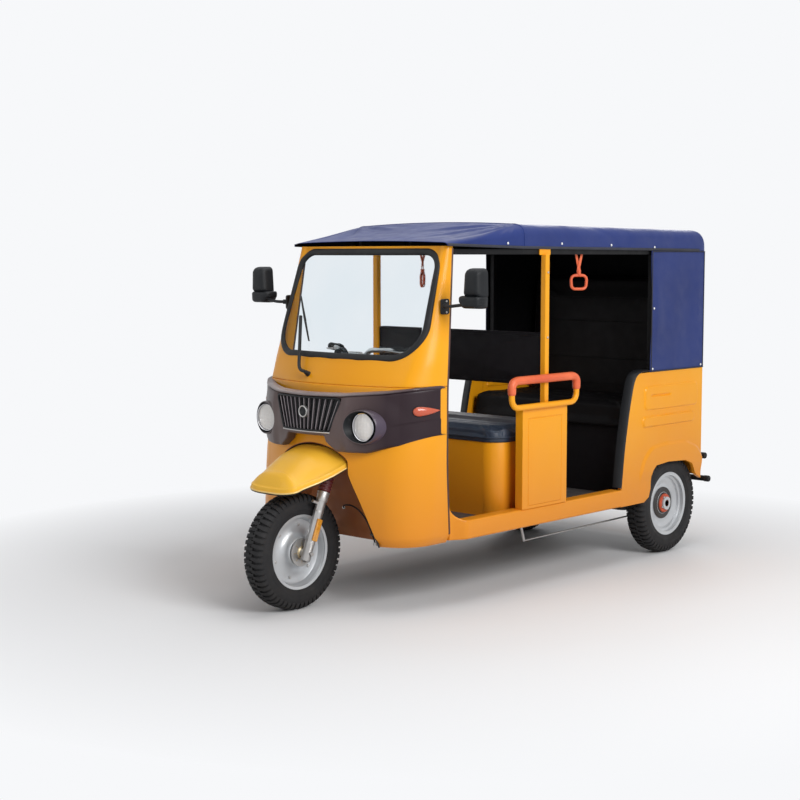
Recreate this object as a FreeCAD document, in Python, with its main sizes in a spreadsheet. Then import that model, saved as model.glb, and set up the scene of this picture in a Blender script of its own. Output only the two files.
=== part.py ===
"""A three-wheeled auto rickshaw: yellow cab and tail, blue roof, one steered front wheel.

Millimetres. +X is the vehicle's left, -Y its front, +Z up. The origin is on the ground,
on the centre plane, under the middle of the length. Every driving size is one cell of the
sheet, and each sub-part is one object of the document whose sizes come from those cells.
"""
import FreeCAD, Part
import math
import os
import re
from types import SimpleNamespace

import Sketcher

doc = FreeCAD.newDocument("auto_rickshaw")
sheet = doc.addObject("Spreadsheet::Sheet", "Sizes")

# The driving sizes: name, value in millimetres or degrees, meaning
SIZES = [
    ("seat_gap", 0.3, "running or seating gap of a soft piece"),
    ("axle_front_y", -1170, "station of the front wheel"),
    ("wheel_base", 2237, "front wheel to rear wheels"),
    ("track_half", 458, "centre plane to a rear wheel"),
    ("tyre_radius", 258, "tyre, out to its lugs"),
    ("tyre_width", 112, "tyre at its widest"),
    ("tread_width", 92, "tyre across the tread"),
    ("tyre_shoulder_drop", 11, "tread shoulder below the crown"),
    ("tyre_bulge_drop", 48, "widest point below the crown"),
    ("rim_seat_radius", 154, "bead seat of the rim"),
    ("rim_flange_radius", 166, "top of the rim flange"),
    ("rim_width", 90, "rim over its flanges"),
    ("rim_sheet", 5, "wheel steel"),
    ("rim_well_depth", 12, "drop of the rim's well"),
    ("drum_radius", 78, "rear brake drum"),
    ("front_hub_radius", 62, "front hub with its brake drum"),
    ("front_drum_half", 44, "half length of the front hub"),
    ("drum_inboard", 62, "rear drum's open end, inboard of the wheel's middle"),
    ("rear_hub_out", 40, "rear hub's end, outboard of the wheel's middle"),
    ("hub_radius", 34, "hub boss"),
    ("spin_gap", 0.4, "hub bore around its axle"),
    ("front_axle_radius", 9, "front axle"),
    ("rear_axle_radius", 15, "rear axle shaft"),
    ("rake", 22, "steering axis back from vertical"),
    ("fork_offset", 45, "fork legs ahead of the steering axis"),
    ("fork_spread", 88, "centre plane to a fork leg"),
    ("slider_radius", 22, "fork slider"),
    ("slider_length", 278, "slider above the axle"),
    ("lower_yoke_up", 390, "lower yoke above the axle, along the fork"),
    ("yoke_thick", 20, "fork yoke"),
    ("stem_radius", 16, "steering stem"),
    ("head_gap", 0.5, "stem in the head tube"),
    ("head_wall", 8, "head tube"),
    ("head_length", 260, "head tube"),
    ("head_above_yoke", 100, "head tube's foot above the lower yoke"),
    ("bar_up", 905, "handlebar clamp above the axle, along the fork"),
    ("bar_half", 250, "half width of the handlebar"),
    ("bar_sweep", 122, "grip ends behind the clamp"),
    ("bar_rise", 32, "grips above the clamp"),
    ("bar_crank_x", 105, "centre plane to the bend of the handlebar"),
    ("bar_radius", 11, "handlebar tube"),
    ("grip_radius", 16, "handlebar grip"),
    ("grip_length", 120, "handlebar grip"),
    ("cab_half", 500, "half width of the cab at the waist"),
    ("cab_top_half", 466, "half width of the cab at its top"),
    ("cab_bottom_z", 290, "lower edge of the cab"),
    ("chin_z", 620, "level of the nose section"),
    ("crease_z", 975, "crease above the mask"),
    ("scuttle_z", 1085, "foot of the windscreen"),
    ("cab_top_z", 1600, "top of the cab"),
    ("cab_wall", 14, "cab panel with its inner sheet"),
    ("well_top_half", 150, "half width of the wheel opening at its shoulder"),
    ("well_foot_half", 330, "half width of the wheel opening at its foot"),
    ("well_back_half", 232, "half width of the wheel well at its back"),
    ("well_top_z", 730, "crown of the wheel well"),
    ("well_back_y", -872, "back wall of the wheel well"),
    ("well_sheet", 6, "wheel well sheet"),
    ("guard_sheet", 5, "mudguard sheet"),
    ("guard_tip_y", -1318, "tip of the mudguard"),
    ("guard_root_y", -985, "root of the mudguard inside the nose"),
    ("mask_end_y", -752, "mask's end at the door pillar"),
    ("mask_nose_y", -1112, "mask at the centre plane"),
    ("mask_lamp_y", -930, "mask at the reference half width"),
    ("cab_corner_in", 80, "start of the cab's corner, in from its half width"),
    ("lamp_x", 307, "centre plane to a headlamp"),
    ("lamp_z", 820, "headlamp centre"),
    ("lamp_front_y", -1040, "front of the headlamp lens"),
    ("lamp_radius", 63, "headlamp lens"),
    ("bezel_radius", 84, "headlamp bezel"),
    ("lamp_depth", 95, "headlamp from lens to back"),
    ("lamp_rim", 24, "headlamp bezel, front to back"),
    ("grille_top_half", 200, "half width of the grille at its top"),
    ("grille_bottom_half", 142, "half width of the grille at its foot"),
    ("grille_top_z", 938, "top of the grille"),
    ("grille_bottom_z", 792, "foot of the grille"),
    ("slat_count", 13, "grille slats"),
    ("slat_width", 7, "grille slat"),
    ("slat_depth", 14, "grille slat, front to back"),
    ("boss_radius", 27, "bare round boss on the grille"),
    ("screen_top_margin", 66, "cab's side to the glass at its top"),
    ("screen_foot_margin", 70, "cab's side to the glass at its widest"),
    ("screen_foot_z", 1108, "lower edge of the glass"),
    ("screen_top_z", 1562, "upper edge of the glass"),
    ("screen_corner", 70, "corner radius of the glass at its top"),
    ("screen_foot_corner", 170, "corner radius of the glass at its foot"),
    ("seal_width", 26, "rubber seal around the glass"),
    ("glass_thick", 5, "windscreen glass"),
    ("floor_z", 345, "top of the floor"),
    ("floor_sheet", 8, "floor sheet"),
    ("mat_thick", 3, "rubber mat on the passengers' floor"),
    ("mat_half", 455, "half width of the rubber mat"),
    ("mat_margin", 20, "mat's edge from the seat box and the bench"),
    ("floor_half", 478, "half width of the floor"),
    ("sill_half", 545, "outer face of the sill"),
    ("sill_width", 65, "sill across"),
    ("sill_bottom_z", 300, "foot of the sill"),
    ("sill_top_z", 387, "top of the sill"),
    ("sill_front_y", -688, "front end of the sill"),
    ("rail_x", 250, "centre plane to a chassis rail"),
    ("rail_width", 40, "chassis rail across"),
    ("rail_height", 37, "chassis rail"),
    ("rail_front_y", -860, "front end of the rails"),
    ("rail_rear_y", 1300, "rear end of the rails"),
    ("seat_half", 450, "half width of the seat box"),
    ("seat_front_y", -290, "front of the seat box"),
    ("seat_rear_y", 165, "rear of the seat box"),
    ("seat_corner", 90, "rounded upright corner of the seat box"),
    ("seat_top_z", 692, "top of the seat box"),
    ("seat_wall", 12, "seat box sheet and frame"),
    ("cushion_thick", 78, "driver's cushion"),
    ("cushion_lip", 14, "cushion past the box"),
    ("board_y", -62, "partition board, front face"),
    ("board_thick", 34, "partition board"),
    ("board_bottom_z", 950, "foot of the partition board"),
    ("board_top_z", 1200, "top of the partition board"),
    ("post_size", 30, "door post, square tube"),
    ("post_y", -60, "door post centre"),
    ("post_outer", 553, "outer face of the door post"),
    ("mirror_half", 720, "outer face of the mirrors"),
    ("mirror_width", 98, "mirror housing across"),
    ("mirror_foot_z", 1330, "foot of the mirror's lower housing"),
    ("mirror_step_z", 1384, "step between the mirror's two housings"),
    ("mirror_top_z", 1504, "top of the mirror"),
    ("mirror_face_y", -694, "glass side of the mirror"),
    ("mirror_depth", 72, "mirror housing, front to back"),
    ("panel_front_y", -236, "front edge of the post panel"),
    ("panel_rear_y", 105, "rear edge of the post panel"),
    ("panel_top_z", 852, "top of the post panel"),
    ("panel_width", 42, "post panel across"),
    ("hoop_radius", 14, "grab hoop tube"),
    ("hoop_front_y", -340, "front run of the grab hoop"),
    ("hoop_rear_y", 153, "rear run of the grab hoop"),
    ("hoop_foot_z", 866, "lower run of the grab hoop"),
    ("hoop_top_z", 990, "upper run of the grab hoop"),
    ("hoop_bend", 45, "bend of the grab hoop"),
    ("pad_wall", 7, "padded sleeve on the hoop"),
    ("rail_tube", 25, "roof rail, square tube"),
    ("roof_rail_x", 530, "outer face of the roof rail"),
    ("roof_rail_top_z", 1588, "top of the roof rail"),
    ("canopy_front_y", -690, "front edge of the roof sheet"),
    ("peak_y", -220, "roof bow where the front slope ends"),
    ("canopy_rear_y", 1325, "rear face of the roof sheet"),
    ("canopy_half", 546, "half width of the roof sheet"),
    ("canopy_edge_z", 1582, "lower edge of the roof sheet"),
    ("canopy_crown_z", 1714, "crown of the roof"),
    ("crown_fall", 12, "fall of the roof's crown to its rear edge"),
    ("canopy_sheet", 6, "coated cloth with its hem"),
    ("canopy_round", 60, "rounded rear shoulder of the roof sheet"),
    ("rear_bow_in", 82, "rear roof bow ahead of the roof sheet's rear face"),
    ("curtain_front_y", 825, "front edge of the side curtain"),
    ("tail_front_y", 578, "front foot of the quarter panel"),
    ("tail_rear_y", 1323, "rear face of the body"),
    ("tail_half", 550, "outer face of the quarter panel"),
    ("tail_top_z", 965, "top of the quarter panel"),
    ("tail_bottom_z", 371, "rear foot of the quarter panel"),
    ("tail_wall", 26, "quarter panel with its inner sheet"),
    ("relief", 4.5, "height of the forms pressed into a body panel"),
    ("flare_width", 110, "raised flare around the rear wheel arch"),
    ("groove_width", 4, "groove that borders a post panel"),
    ("groove_margin", 42, "groove to the post panel's edges"),
    ("tail_panel_foot_z", 392, "foot of the tail panel between the wheels"),
    ("arch_top_z", 491, "wheel arch of the quarter panel"),
    ("plate_spacing", 160, "the two number plate holes, apart"),
    ("plate_hole_radius", 3.5, "number plate hole"),
    ("plate_z", 600, "level of the number plate holes"),
    ("bench_gap", 16, "bench's end to the quarter panel"),
    ("bench_front_y", 660, "front of the bench"),
    ("bench_base_z", 690, "top of the bench's box"),
    ("bench_top_z", 822, "top of the bench cushion"),
    ("bench_depth", 470, "bench cushion, front to back"),
    ("bench_back_z", 1450, "top of the bench's back"),
    ("bench_back_y", 1255, "rear of the bench's back at its top"),
    ("bench_wall", 12, "bench box sheet"),
    ("house_half", 372, "inner face of a rear wheelhouse"),
    ("house_top_z", 540, "roof of a rear wheelhouse"),
    ("bumper_radius", 15, "rear bumper tube"),
    ("bumper_collar", 21, "collar that clamps a bumper tube"),
    ("bumper_collar_width", 30, "width of a bumper collar and its bracket"),
    ("bumper_half", 545, "half length of the lower bumper tube"),
    ("bumper_high_half", 520, "half length of the upper bumper tube"),
    ("bumper_rear_y", 1428, "rear of the bumper's collars"),
    ("bumper_high_z", 480, "upper bumper tube"),
    ("bumper_low_z", 356, "lower bumper tube"),
    ("engine_half", 165, "half width of the engine"),
    ("engine_front_y", -240, "front of the engine"),
    ("engine_length", 330, "engine"),
    ("engine_bottom_z", 236, "underside of the engine"),
    ("engine_height", 390, "engine"),
    ("axle_tube_radius", 34, "rear axle tube"),
    ("final_drive_radius", 98, "final drive housing"),
    ("final_drive_half", 42, "half length of the final drive's drum"),
    ("axle_end_x", 382, "rear axle tube's end at the back plate"),
    ("cable_radius", 3.5, "front brake cable"),
    ("clip_radius", 7, "front brake cable's clip and grommet"),
    ("clip_height", 14, "front brake cable's clip"),
    ("spring_width", 45, "leaf spring"),
    ("spring_half", 245, "half length of a leaf spring"),
    ("spring_rise", 46, "spring's ends above its middle"),
    ("leaf_thick", 8, "one leaf"),
]
for row, (alias, value, note) in enumerate(SIZES, start=1):
    sheet.set(f"A{row}", alias)
    sheet.set(f"B{row}", str(value))
    sheet.set(f"C{row}", note)
    sheet.setAlias(f"B{row}", alias)
doc.recompute()

NAMES = {alias for alias, value, note in SIZES}
d = SimpleNamespace(**{alias: float(sheet.get(alias)) for alias in NAMES})
NODES = []


def bound(text):
    """An expression in plain size names, with each name read from the sheet."""
    return re.sub(r"[a-z_]+", lambda word: f"Sizes.{word[0]}" if word[0] in NAMES else word[0], text)


def node(thing, label):
    """Give a finished object its node's name and list it for export."""
    thing.Label = label
    NODES.append(thing)
    return thing


def place(thing, at):
    """Bind an object's place to three expressions."""
    for axis, text in zip("xyz", at):
        thing.setExpression(f"Placement.Base.{axis}", bound(text))


def feature(label, shape):
    """A sub-part whose shape is worked out here from the sheet's sizes."""
    thing = doc.addObject("Part::Feature", label)
    thing.Shape = shape
    thing.Placement = FreeCAD.Placement()
    return node(thing, label)


def vec(x, y, z):
    return FreeCAD.Vector(x, y, z)


def plane_of(body, role):
    return next(part for part in body.Origin.OriginFeatures if part.Role == role)


def outline(body, name, role, points, offset="0"):
    """A closed sketch, run anticlockwise. Each point is two expressions, and a third one makes
    the edge to the next point an arc of that radius, bulging outwards if positive."""
    sketch = body.newObject("Sketcher::SketchObject", name)
    sketch.AttachmentSupport = [(plane_of(body, role), "")]
    sketch.MapMode = "FlatFace"
    sketch.setExpression("AttachmentOffset.Base.z", bound(offset))
    spots = [tuple(float(sheet.evalExpression(text)) for text in point[:2]) for point in points]
    count = len(points)
    for i, point in enumerate(points):
        start = vec(*spots[i], 0)
        end = vec(*spots[(i + 1) % count], 0)
        if len(point) == 3:
            radius = float(sheet.evalExpression(point[2]))
            chord = end.sub(start)
            half = chord.Length / 2
            rise = abs(radius) - math.sqrt(radius * radius - half * half)
            outwards = vec(chord.y, -chord.x, 0).normalize()
            middle = (start + end) * 0.5 + outwards * math.copysign(rise, radius)
            sketch.addGeometry(Part.Arc(start, middle, end), False)
        else:
            sketch.addGeometry(Part.LineSegment(start, end), False)
    geometry = sketch.Geometry

    def end_of(index, at_start):
        edge = geometry[index]
        wanted = vec(*spots[index if at_start else (index + 1) % count], 0)
        return 1 if edge.StartPoint.distanceToPoint(wanted) < 1e-6 else 2

    for i in range(count):
        after = (i + 1) % count
        sketch.addConstraint(Sketcher.Constraint("Coincident", i, end_of(i, False), after, end_of(after, True)))
    for i, point in enumerate(points):
        for kind, text, value in zip(("DistanceX", "DistanceY"), point[:2], spots[i]):
            number = sketch.addConstraint(Sketcher.Constraint(kind, -1, 1, i, end_of(i, True), value))
            sketch.setExpression(f"Constraints[{number}]", bound(text))
        if len(point) == 3:
            radius = abs(float(sheet.evalExpression(point[2])))
            number = sketch.addConstraint(Sketcher.Constraint("Radius", i, radius))
            sketch.setExpression(f"Constraints[{number}]", bound(f"abs({point[2]})"))
    return sketch


def body_of(label, at=("0", "0", "0")):
    body = doc.addObject("PartDesign::Body", label)
    place(body, at)
    return body


def pad(body, name, role, points, length, offset="0", reverse=False):
    """A sketch pushed out along its plane's normal."""
    sketch = outline(body, name + "_sketch", role, points, offset)
    thing = body.newObject("PartDesign::Pad", name)
    thing.Profile = sketch
    thing.setExpression("Length", bound(length))
    thing.Reversed = reverse
    sketch.Visibility = False
    return thing


def spun(body, name, points):
    """A profile of (along X, radius) pairs turned about the X axis."""
    sketch = outline(body, name + "_sketch", "XY_Plane", points)
    thing = body.newObject("PartDesign::Revolution", name)
    thing.Profile = sketch
    thing.ReferenceAxis = (sketch, ["H_Axis"])
    thing.Angle = 360
    return thing


def pair(label, half):
    """The left piece and its mirror image, as one node of two solids."""
    other = doc.addObject("Part::Mirroring", label + "_right")
    other.Source = half
    other.Normal = vec(1, 0, 0)
    both = doc.addObject("Part::Compound", label)
    both.Links = [half, other]
    return node(both, label)


def mirrored(shape):
    return shape.mirror(vec(0, 0, 0), vec(1, 0, 0))


def block(x0, x1, y0, y1, z0, z1):
    return Part.makeBox(x1 - x0, y1 - y0, z1 - z0, vec(x0, y0, z0))


def rod(start, end, radius):
    way = end.sub(start)
    return Part.makeCylinder(radius, way.Length, start, way)


def prism(points, direction):
    """A closed flat outline pushed along a direction."""
    wire = Part.makePolygon(points + points[:1])
    return Part.Face(wire).extrude(direction)


def bent(points, radius, bend, closed=False):
    """A round tube along straight runs whose corners are arcs of one radius."""
    count = len(points)
    corners = range(count) if closed else range(1, count - 1)
    cut = {}
    for i in corners:
        back = points[i - 1].sub(points[i]).normalize()
        ahead = points[(i + 1) % count].sub(points[i]).normalize()
        turn = math.pi - back.getAngle(ahead)
        reach = bend * math.tan(turn / 2)
        middle = (back + ahead).normalize() * (bend / math.cos(turn / 2) - bend)
        cut[i] = (points[i] + back * reach, points[i] + middle, points[i] + ahead * reach)
    edges = []
    for i in range(count if closed else count - 1):
        after = (i + 1) % count
        start = cut[i][2] if i in cut else points[i]
        end = cut[after][0] if after in cut else points[after]
        if start.distanceToPoint(end) > 1e-6:
            edges.append(Part.LineSegment(start, end).toShape())
        if after in cut:
            edges.append(Part.Arc(*cut[after]).toShape())
    path = Part.Wire(edges)
    first = edges[0]
    ring = Part.makeCircle(radius, first.Vertexes[0].Point, first.tangentAt(first.FirstParameter))
    return path.makePipeShell([Part.Wire(ring)], True, False)


# The rear station and the steering axis follow from the driving sizes
axle_rear_y = d.axle_front_y + d.wheel_base
lean = math.radians(d.rake)
up_fork = vec(0, math.sin(lean), math.cos(lean))
ahead_of_fork = vec(0, -math.cos(lean), math.sin(lean))
front_hub = vec(0, d.axle_front_y, d.tyre_radius)


def fork_point(x, up, back=0.0):
    """A point by its side, its height above the axle along the fork, and its set back."""
    return front_hub + up_fork * up - ahead_of_fork * back + vec(x, 0, 0)


# The cab's skin: level, half width, side's front y, corner x, corner y, centre y, door edge y
corner_x = d.cab_half - d.cab_corner_in
CAB_SECTIONS = [
    (d.cab_bottom_z, d.cab_half, -800, d.cab_half - 150, -985, -1030, -690),
    (d.chin_z, d.cab_half, -762, d.cab_half - 155, -985, -1064, -708),
    (d.crease_z, d.cab_half, -748, corner_x, -903, -1000, -706),
    (d.scuttle_z, d.cab_half, -738, corner_x, -862, -928, -700),
    (d.cab_top_z, d.cab_top_half, -645, d.cab_top_half - 46, -668, -680, -650),
]


def cab_section(row, inset):
    """One level of the skin, closed behind the door edge, moved in by the inset."""
    z, half, side_y, corner_x, corner_y, centre_y = row[:6]
    half -= inset
    corner_x -= inset * 0.6
    corner_y += inset * 0.8
    centre_y += inset
    back_y = 0
    run = half - corner_x
    fall = side_y - corner_y
    radius = (run * run + fall * fall) / (2 * run)
    turn = math.atan2(fall, radius - run) / 2
    bow = vec(half - radius + radius * math.cos(turn), side_y - radius * math.sin(turn), z)
    side = vec(half, side_y, z)
    corner = vec(corner_x, corner_y, z)
    flip = lambda point: vec(-point.x, point.y, point.z)
    edges = [
        Part.LineSegment(vec(half, back_y, z), side),
        Part.Arc(side, bow, corner),
        Part.Arc(corner, vec(0, centre_y, z), flip(corner)),
        Part.Arc(flip(corner), flip(bow), flip(side)),
        Part.LineSegment(flip(side), vec(-half, back_y, z)),
        Part.LineSegment(vec(-half, back_y, z), vec(half, back_y, z)),
    ]
    return Part.Wire([edge.toShape() for edge in edges])


def cab_solid(inset):
    """The filled cab, moved in by the inset."""
    return Part.makeLoft([cab_section(row, inset) for row in CAB_SECTIONS], True, True)


def door_cut():
    """Everything behind the door edges."""
    points = [vec(-700, row[6], row[0]) for row in CAB_SECTIONS]
    points = [vec(-700, points[0].y, 0)] + points + [vec(-700, points[-1].y, 2000)]
    points += [vec(-700, 400, 2000), vec(-700, 400, 0)]
    return prism(points, vec(1400, 0, 0))


def arch_face(half_foot, half_top, top_z, foot_z, y, grow=0.0):
    """The wheel opening seen from the front: two slanted sides under a round crown."""
    shoulder = d.chin_z
    slope = (half_foot - half_top) / (shoulder - d.cab_bottom_z)
    left_foot = vec(half_top + slope * (shoulder - foot_z) + grow, y, foot_z)
    left_top = vec(half_top + grow, y, shoulder)
    crown = vec(0, y, top_z + grow)
    right_top = vec(-left_top.x, y, shoulder)
    right_foot = vec(-left_foot.x, y, foot_z)
    edges = [
        Part.LineSegment(right_foot, left_foot).toShape(),
        Part.LineSegment(left_foot, left_top).toShape(),
        Part.Arc(left_top, crown, right_top).toShape(),
        Part.LineSegment(right_top, right_foot).toShape(),
    ]
    return Part.Wire(edges)


def well_solid(grow, foot_z, back_grow=0.0):
    """The wheel well's filled form, from ahead of the nose to its back wall."""
    front = arch_face(d.well_foot_half, d.well_top_half, d.well_top_z, foot_z, -1200, grow)
    nose = arch_face(d.well_foot_half, d.well_top_half, d.well_top_z, foot_z, -1010, grow)
    back = arch_face(d.well_back_half, d.well_top_half, d.well_top_z, foot_z, d.well_back_y + back_grow, grow)
    return Part.makeLoft([front, nose, back], True, True)


def screen_face(grow, y):
    """The glass outline seen from the front, larger by the given margin."""
    top = d.screen_top_z + grow
    foot = d.screen_foot_z - grow
    half_top = d.cab_top_half - d.screen_top_margin + grow
    half_foot = d.cab_half - d.screen_foot_margin + grow
    corners = [
        (vec(half_foot, y, foot), d.screen_foot_corner + grow),
        (vec(half_top, y, top), d.screen_corner + grow),
        (vec(-half_top, y, top), d.screen_corner + grow),
        (vec(-half_foot, y, foot), d.screen_foot_corner + grow),
    ]
    return rounded(corners)


def rounded(corners):
    """A closed wire through (corner, radius) pairs with tangent arcs."""
    count = len(corners)
    arcs = []
    for i, (corner, radius) in enumerate(corners):
        back = corners[i - 1][0].sub(corner).normalize()
        ahead = corners[(i + 1) % count][0].sub(corner).normalize()
        turn = math.pi - back.getAngle(ahead)
        reach = radius * math.tan(turn / 2)
        middle = (back + ahead).normalize() * (radius / math.cos(turn / 2) - radius)
        arcs.append((corner + back * reach, corner + middle, corner + ahead * reach))
    edges = []
    for i, arc in enumerate(arcs):
        edges.append(Part.Arc(*arc).toShape())
        start = arc[2]
        end = arcs[(i + 1) % count][0]
        if start.distanceToPoint(end) > 1e-6:
            edges.append(Part.LineSegment(start, end).toShape())
    return Part.Wire(edges)


# Wheels

def tyre(label, at):
    """A tyre turned from its cross section: beads, bulging walls, rounded tread."""
    half = "tyre_width / 2"
    bead = "(rim_width / 2 - rim_sheet - seat_gap)"
    seat = "rim_seat_radius + seat_gap"
    tread = "(tread_width / 2)"
    crown = f"({tread}^2 + tyre_shoulder_drop^2) / (2 * tyre_shoulder_drop)"
    shoulder = "tyre_radius - tyre_shoulder_drop"
    wall = "tyre_radius - tyre_bulge_drop"
    body = body_of(label, at)
    spun(body, label + "_ring", [
        (f"-{bead}", seat),
        (bead, seat),
        (bead, "rim_flange_radius"),
        (half, wall, "70"),
        (tread, shoulder, crown),
        (f"-{tread}", shoulder, "70"),
        (f"-{half}", wall),
        (f"-{bead}", "rim_flange_radius"),
    ])
    return node(body, label)


def rim(label, at, disc, hub, hub_in, hub_out, bore):
    """A steel wheel in one turned section: flanges, bead seats, drop centre, disc and hub.

    disc is where the wheel disc's inner face stands; the hub runs from hub_in to hub_out."""
    half = "(rim_width / 2)"
    inside = "(rim_seat_radius - rim_sheet)"
    well = "(rim_seat_radius - rim_well_depth)"
    body = body_of(label, at)
    spun(body, label + "_section", [
        (hub_in, bore),
        (hub_out, bore),
        (hub_out, "hub_radius"),
        (f"{disc} + 20", "hub_radius"),
        (f"{disc} + rim_sheet", hub),
        (f"{disc} + rim_sheet", f"{well} - 40"),
        (f"{disc} + rim_sheet + 8", f"{well} - rim_sheet - 12"),
        (f"{disc} + rim_sheet + 8", f"{well} - rim_sheet"),
        ("22", f"{well} - rim_sheet"),
        ("27", inside),
        (half, inside),
        (half, "rim_flange_radius"),
        (f"{half} - rim_sheet", "rim_flange_radius"),
        (f"{half} - rim_sheet", "rim_seat_radius"),
        ("26", "rim_seat_radius"),
        ("18", well),
        ("-18", well),
        ("-26", "rim_seat_radius"),
        (f"-{half} + rim_sheet", "rim_seat_radius"),
        (f"-{half} + rim_sheet", "rim_flange_radius"),
        (f"-{half}", "rim_flange_radius"),
        (f"-{half}", inside),
        ("-27", inside),
        ("-22", f"{well} - rim_sheet"),
        (f"{disc}", f"{well} - rim_sheet"),
        (f"{disc}", f"{well} - 40"),
        (f"{disc} - 4", hub),
        (hub_in, hub),
    ])
    return node(body, label)


front_at = ("0", "axle_front_y", "tyre_radius")
left_at = ("track_half", "axle_front_y + wheel_base", "tyre_radius")
right_at = ("-track_half", "axle_front_y + wheel_base", "tyre_radius")
tyre("front_tyre", front_at)
tyre("rear_tyre_left", left_at)
tyre("rear_tyre_right", right_at)
rim("front_rim", front_at, "-4", "front_hub_radius", "-front_drum_half", "front_drum_half",
    "front_axle_radius + spin_gap")
rim("rear_rim_left", left_at, "4", "drum_radius", "-drum_inboard", "rear_hub_out",
    "rear_axle_radius + spin_gap")
right_rim = rim("rear_rim_right", right_at, "4", "drum_radius", "-drum_inboard", "rear_hub_out",
                "rear_axle_radius + spin_gap")
right_rim.Placement.Rotation = FreeCAD.Rotation(vec(0, 0, 1), 180)

# Front fork, turned by the handlebar about the raked steering axis

sliders = []
for side in (1, -1):
    x = side * d.fork_spread
    slider_top = fork_point(x, d.slider_length)
    slider = rod(fork_point(x, -34), slider_top, d.slider_radius)
    slider = slider.fuse(rod(fork_point(x, d.slider_length - 40), slider_top, d.slider_radius + 4))
    stub = rod(fork_point(x, 225), fork_point(x, 225) + ahead_of_fork * 52, 7)
    sliders.append(slider.fuse(stub))
axle_reach = vec(d.fork_spread + 34, 0, 0)
axle = rod(front_hub - axle_reach, front_hub + axle_reach, d.front_axle_radius)
plate_in = front_hub + vec(d.front_drum_half + 6, 0, 0)
plate = rod(plate_in, plate_in + vec(6, 0, 0), d.front_hub_radius)
anchor = rod(plate_in, front_hub + vec(d.fork_spread, 0, 0), 20)
feature("fork_sliders", sliders[0].fuse([sliders[1], axle, plate, anchor]).removeSplitter())

upper = []
yoke_end = d.slider_radius + 4
for side in (1, -1):
    x = side * d.fork_spread
    upper.append(rod(fork_point(x, d.slider_length), fork_point(x, d.lower_yoke_up), d.slider_radius + 2))
    upper.append(rod(fork_point(x, d.lower_yoke_up), fork_point(x, d.lower_yoke_up + d.yoke_thick), yoke_end))
web = [
    fork_point(-d.fork_spread, d.lower_yoke_up, -yoke_end + 6),
    fork_point(d.fork_spread, d.lower_yoke_up, -yoke_end + 6),
    fork_point(30, d.lower_yoke_up, d.fork_offset + 24),
    fork_point(-30, d.lower_yoke_up, d.fork_offset + 24),
]
upper.append(prism(web, up_fork * d.yoke_thick))
stem_foot = fork_point(0, d.lower_yoke_up, d.fork_offset)
stem_top = fork_point(0, d.bar_up, d.fork_offset)
upper.append(rod(stem_foot, stem_top, d.stem_radius))
feature("fork_upper", upper[0].fuse(upper[1:]).removeSplitter())

bar_mid = stem_top + up_fork * (d.bar_radius + 11)
clamp = rod(bar_mid - vec(42, 0, 0), bar_mid + vec(42, 0, 0), d.bar_radius + 11)
bar_points = []
for side in (-1, 1):
    way = vec(side, 0, 0)
    rise = vec(0, 0, d.bar_rise)
    run = [
        bar_mid + way * 60,
        bar_mid + way * d.bar_crank_x + rise,
        bar_mid + way * d.bar_half + vec(0, d.bar_sweep, 0) + rise,
    ]
    bar_points = run[::-1] + bar_points if side < 0 else bar_points + run
tube = bent(bar_points, d.bar_radius, 26)
feature("handlebar", tube.fuse(clamp).removeSplitter())
grips = []
for tip, inner in ((bar_points[0], bar_points[1]), (bar_points[-1], bar_points[-2])):
    way = inner.sub(tip).normalize()
    sleeve = rod(tip - way * 4, tip + way * d.grip_length, d.grip_radius)
    bore = rod(tip, tip + way * (d.grip_length + 5), d.bar_radius + 0.1)
    grips.append(sleeve.cut(bore))
feature("hand_grips", Part.makeCompound(grips))

# Steering head, fixed to the wheel well's crown

head_foot = fork_point(0, d.lower_yoke_up + d.head_above_yoke, d.fork_offset)
head_top = head_foot + up_fork * d.head_length
head_outer = d.stem_radius + d.head_gap + d.head_wall
head = rod(head_foot, head_top, head_outer)
well_roof_z = d.well_top_z + d.well_sheet
gusset = prism([
    vec(-5, d.well_back_y, well_roof_z),
    vec(-5, head_foot.y, well_roof_z),
    vec(-5, head_top.y, head_top.z - 20),
], vec(10, 0, 0))
collar = rod(head_foot - up_fork * 6, head_foot + up_fork * 20, head_outer + 8)
stem_bore = rod(head_foot - up_fork * 60, head_top + up_fork * 60, d.stem_radius + d.head_gap)
below_well = block(-200, 200, -1300, -500, 300, well_roof_z)
feature("steering_head", head.fuse([gusset, collar]).cut(stem_bore).cut(below_well).removeSplitter())

# Cab shell, wheel well, mudguard

skin = cab_solid(0)
below = (d.cab_bottom_z - 5,) + CAB_SECTIONS[0][1:]
above = (d.cab_top_z + 5,) + CAB_SECTIONS[-1][1:]
hollow = Part.makeLoft([cab_section(row, d.cab_wall) for row in [below] + CAB_SECTIONS + [above]], True, True)
well_inside = well_solid(0, d.cab_bottom_z - 10)
seal_hole = Part.Face(screen_face(d.seal_width, -1300)).extrude(vec(0, 900, 0))
lamp_back_y = d.lamp_front_y + d.lamp_depth + 2
lamp_bores = Part.makeCompound([
    rod(vec(side * d.lamp_x, -1300, d.lamp_z), vec(side * d.lamp_x, lamp_back_y, d.lamp_z), d.lamp_radius + 1.3)
    for side in (1, -1)])
shell = skin.cut(hollow).cut(door_cut()).cut(well_inside).cut(seal_hole).cut(lamp_bores)
feature("cab_shell", shell)

well = well_solid(d.well_sheet, d.cab_bottom_z + 2, d.well_sheet).cut(well_solid(0, d.cab_bottom_z - 10))
stem_clear = rod(fork_point(0, 300, d.fork_offset), head_top, d.stem_radius + 5)
feature("wheel_well", well.common(hollow).cut(stem_clear))

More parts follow.
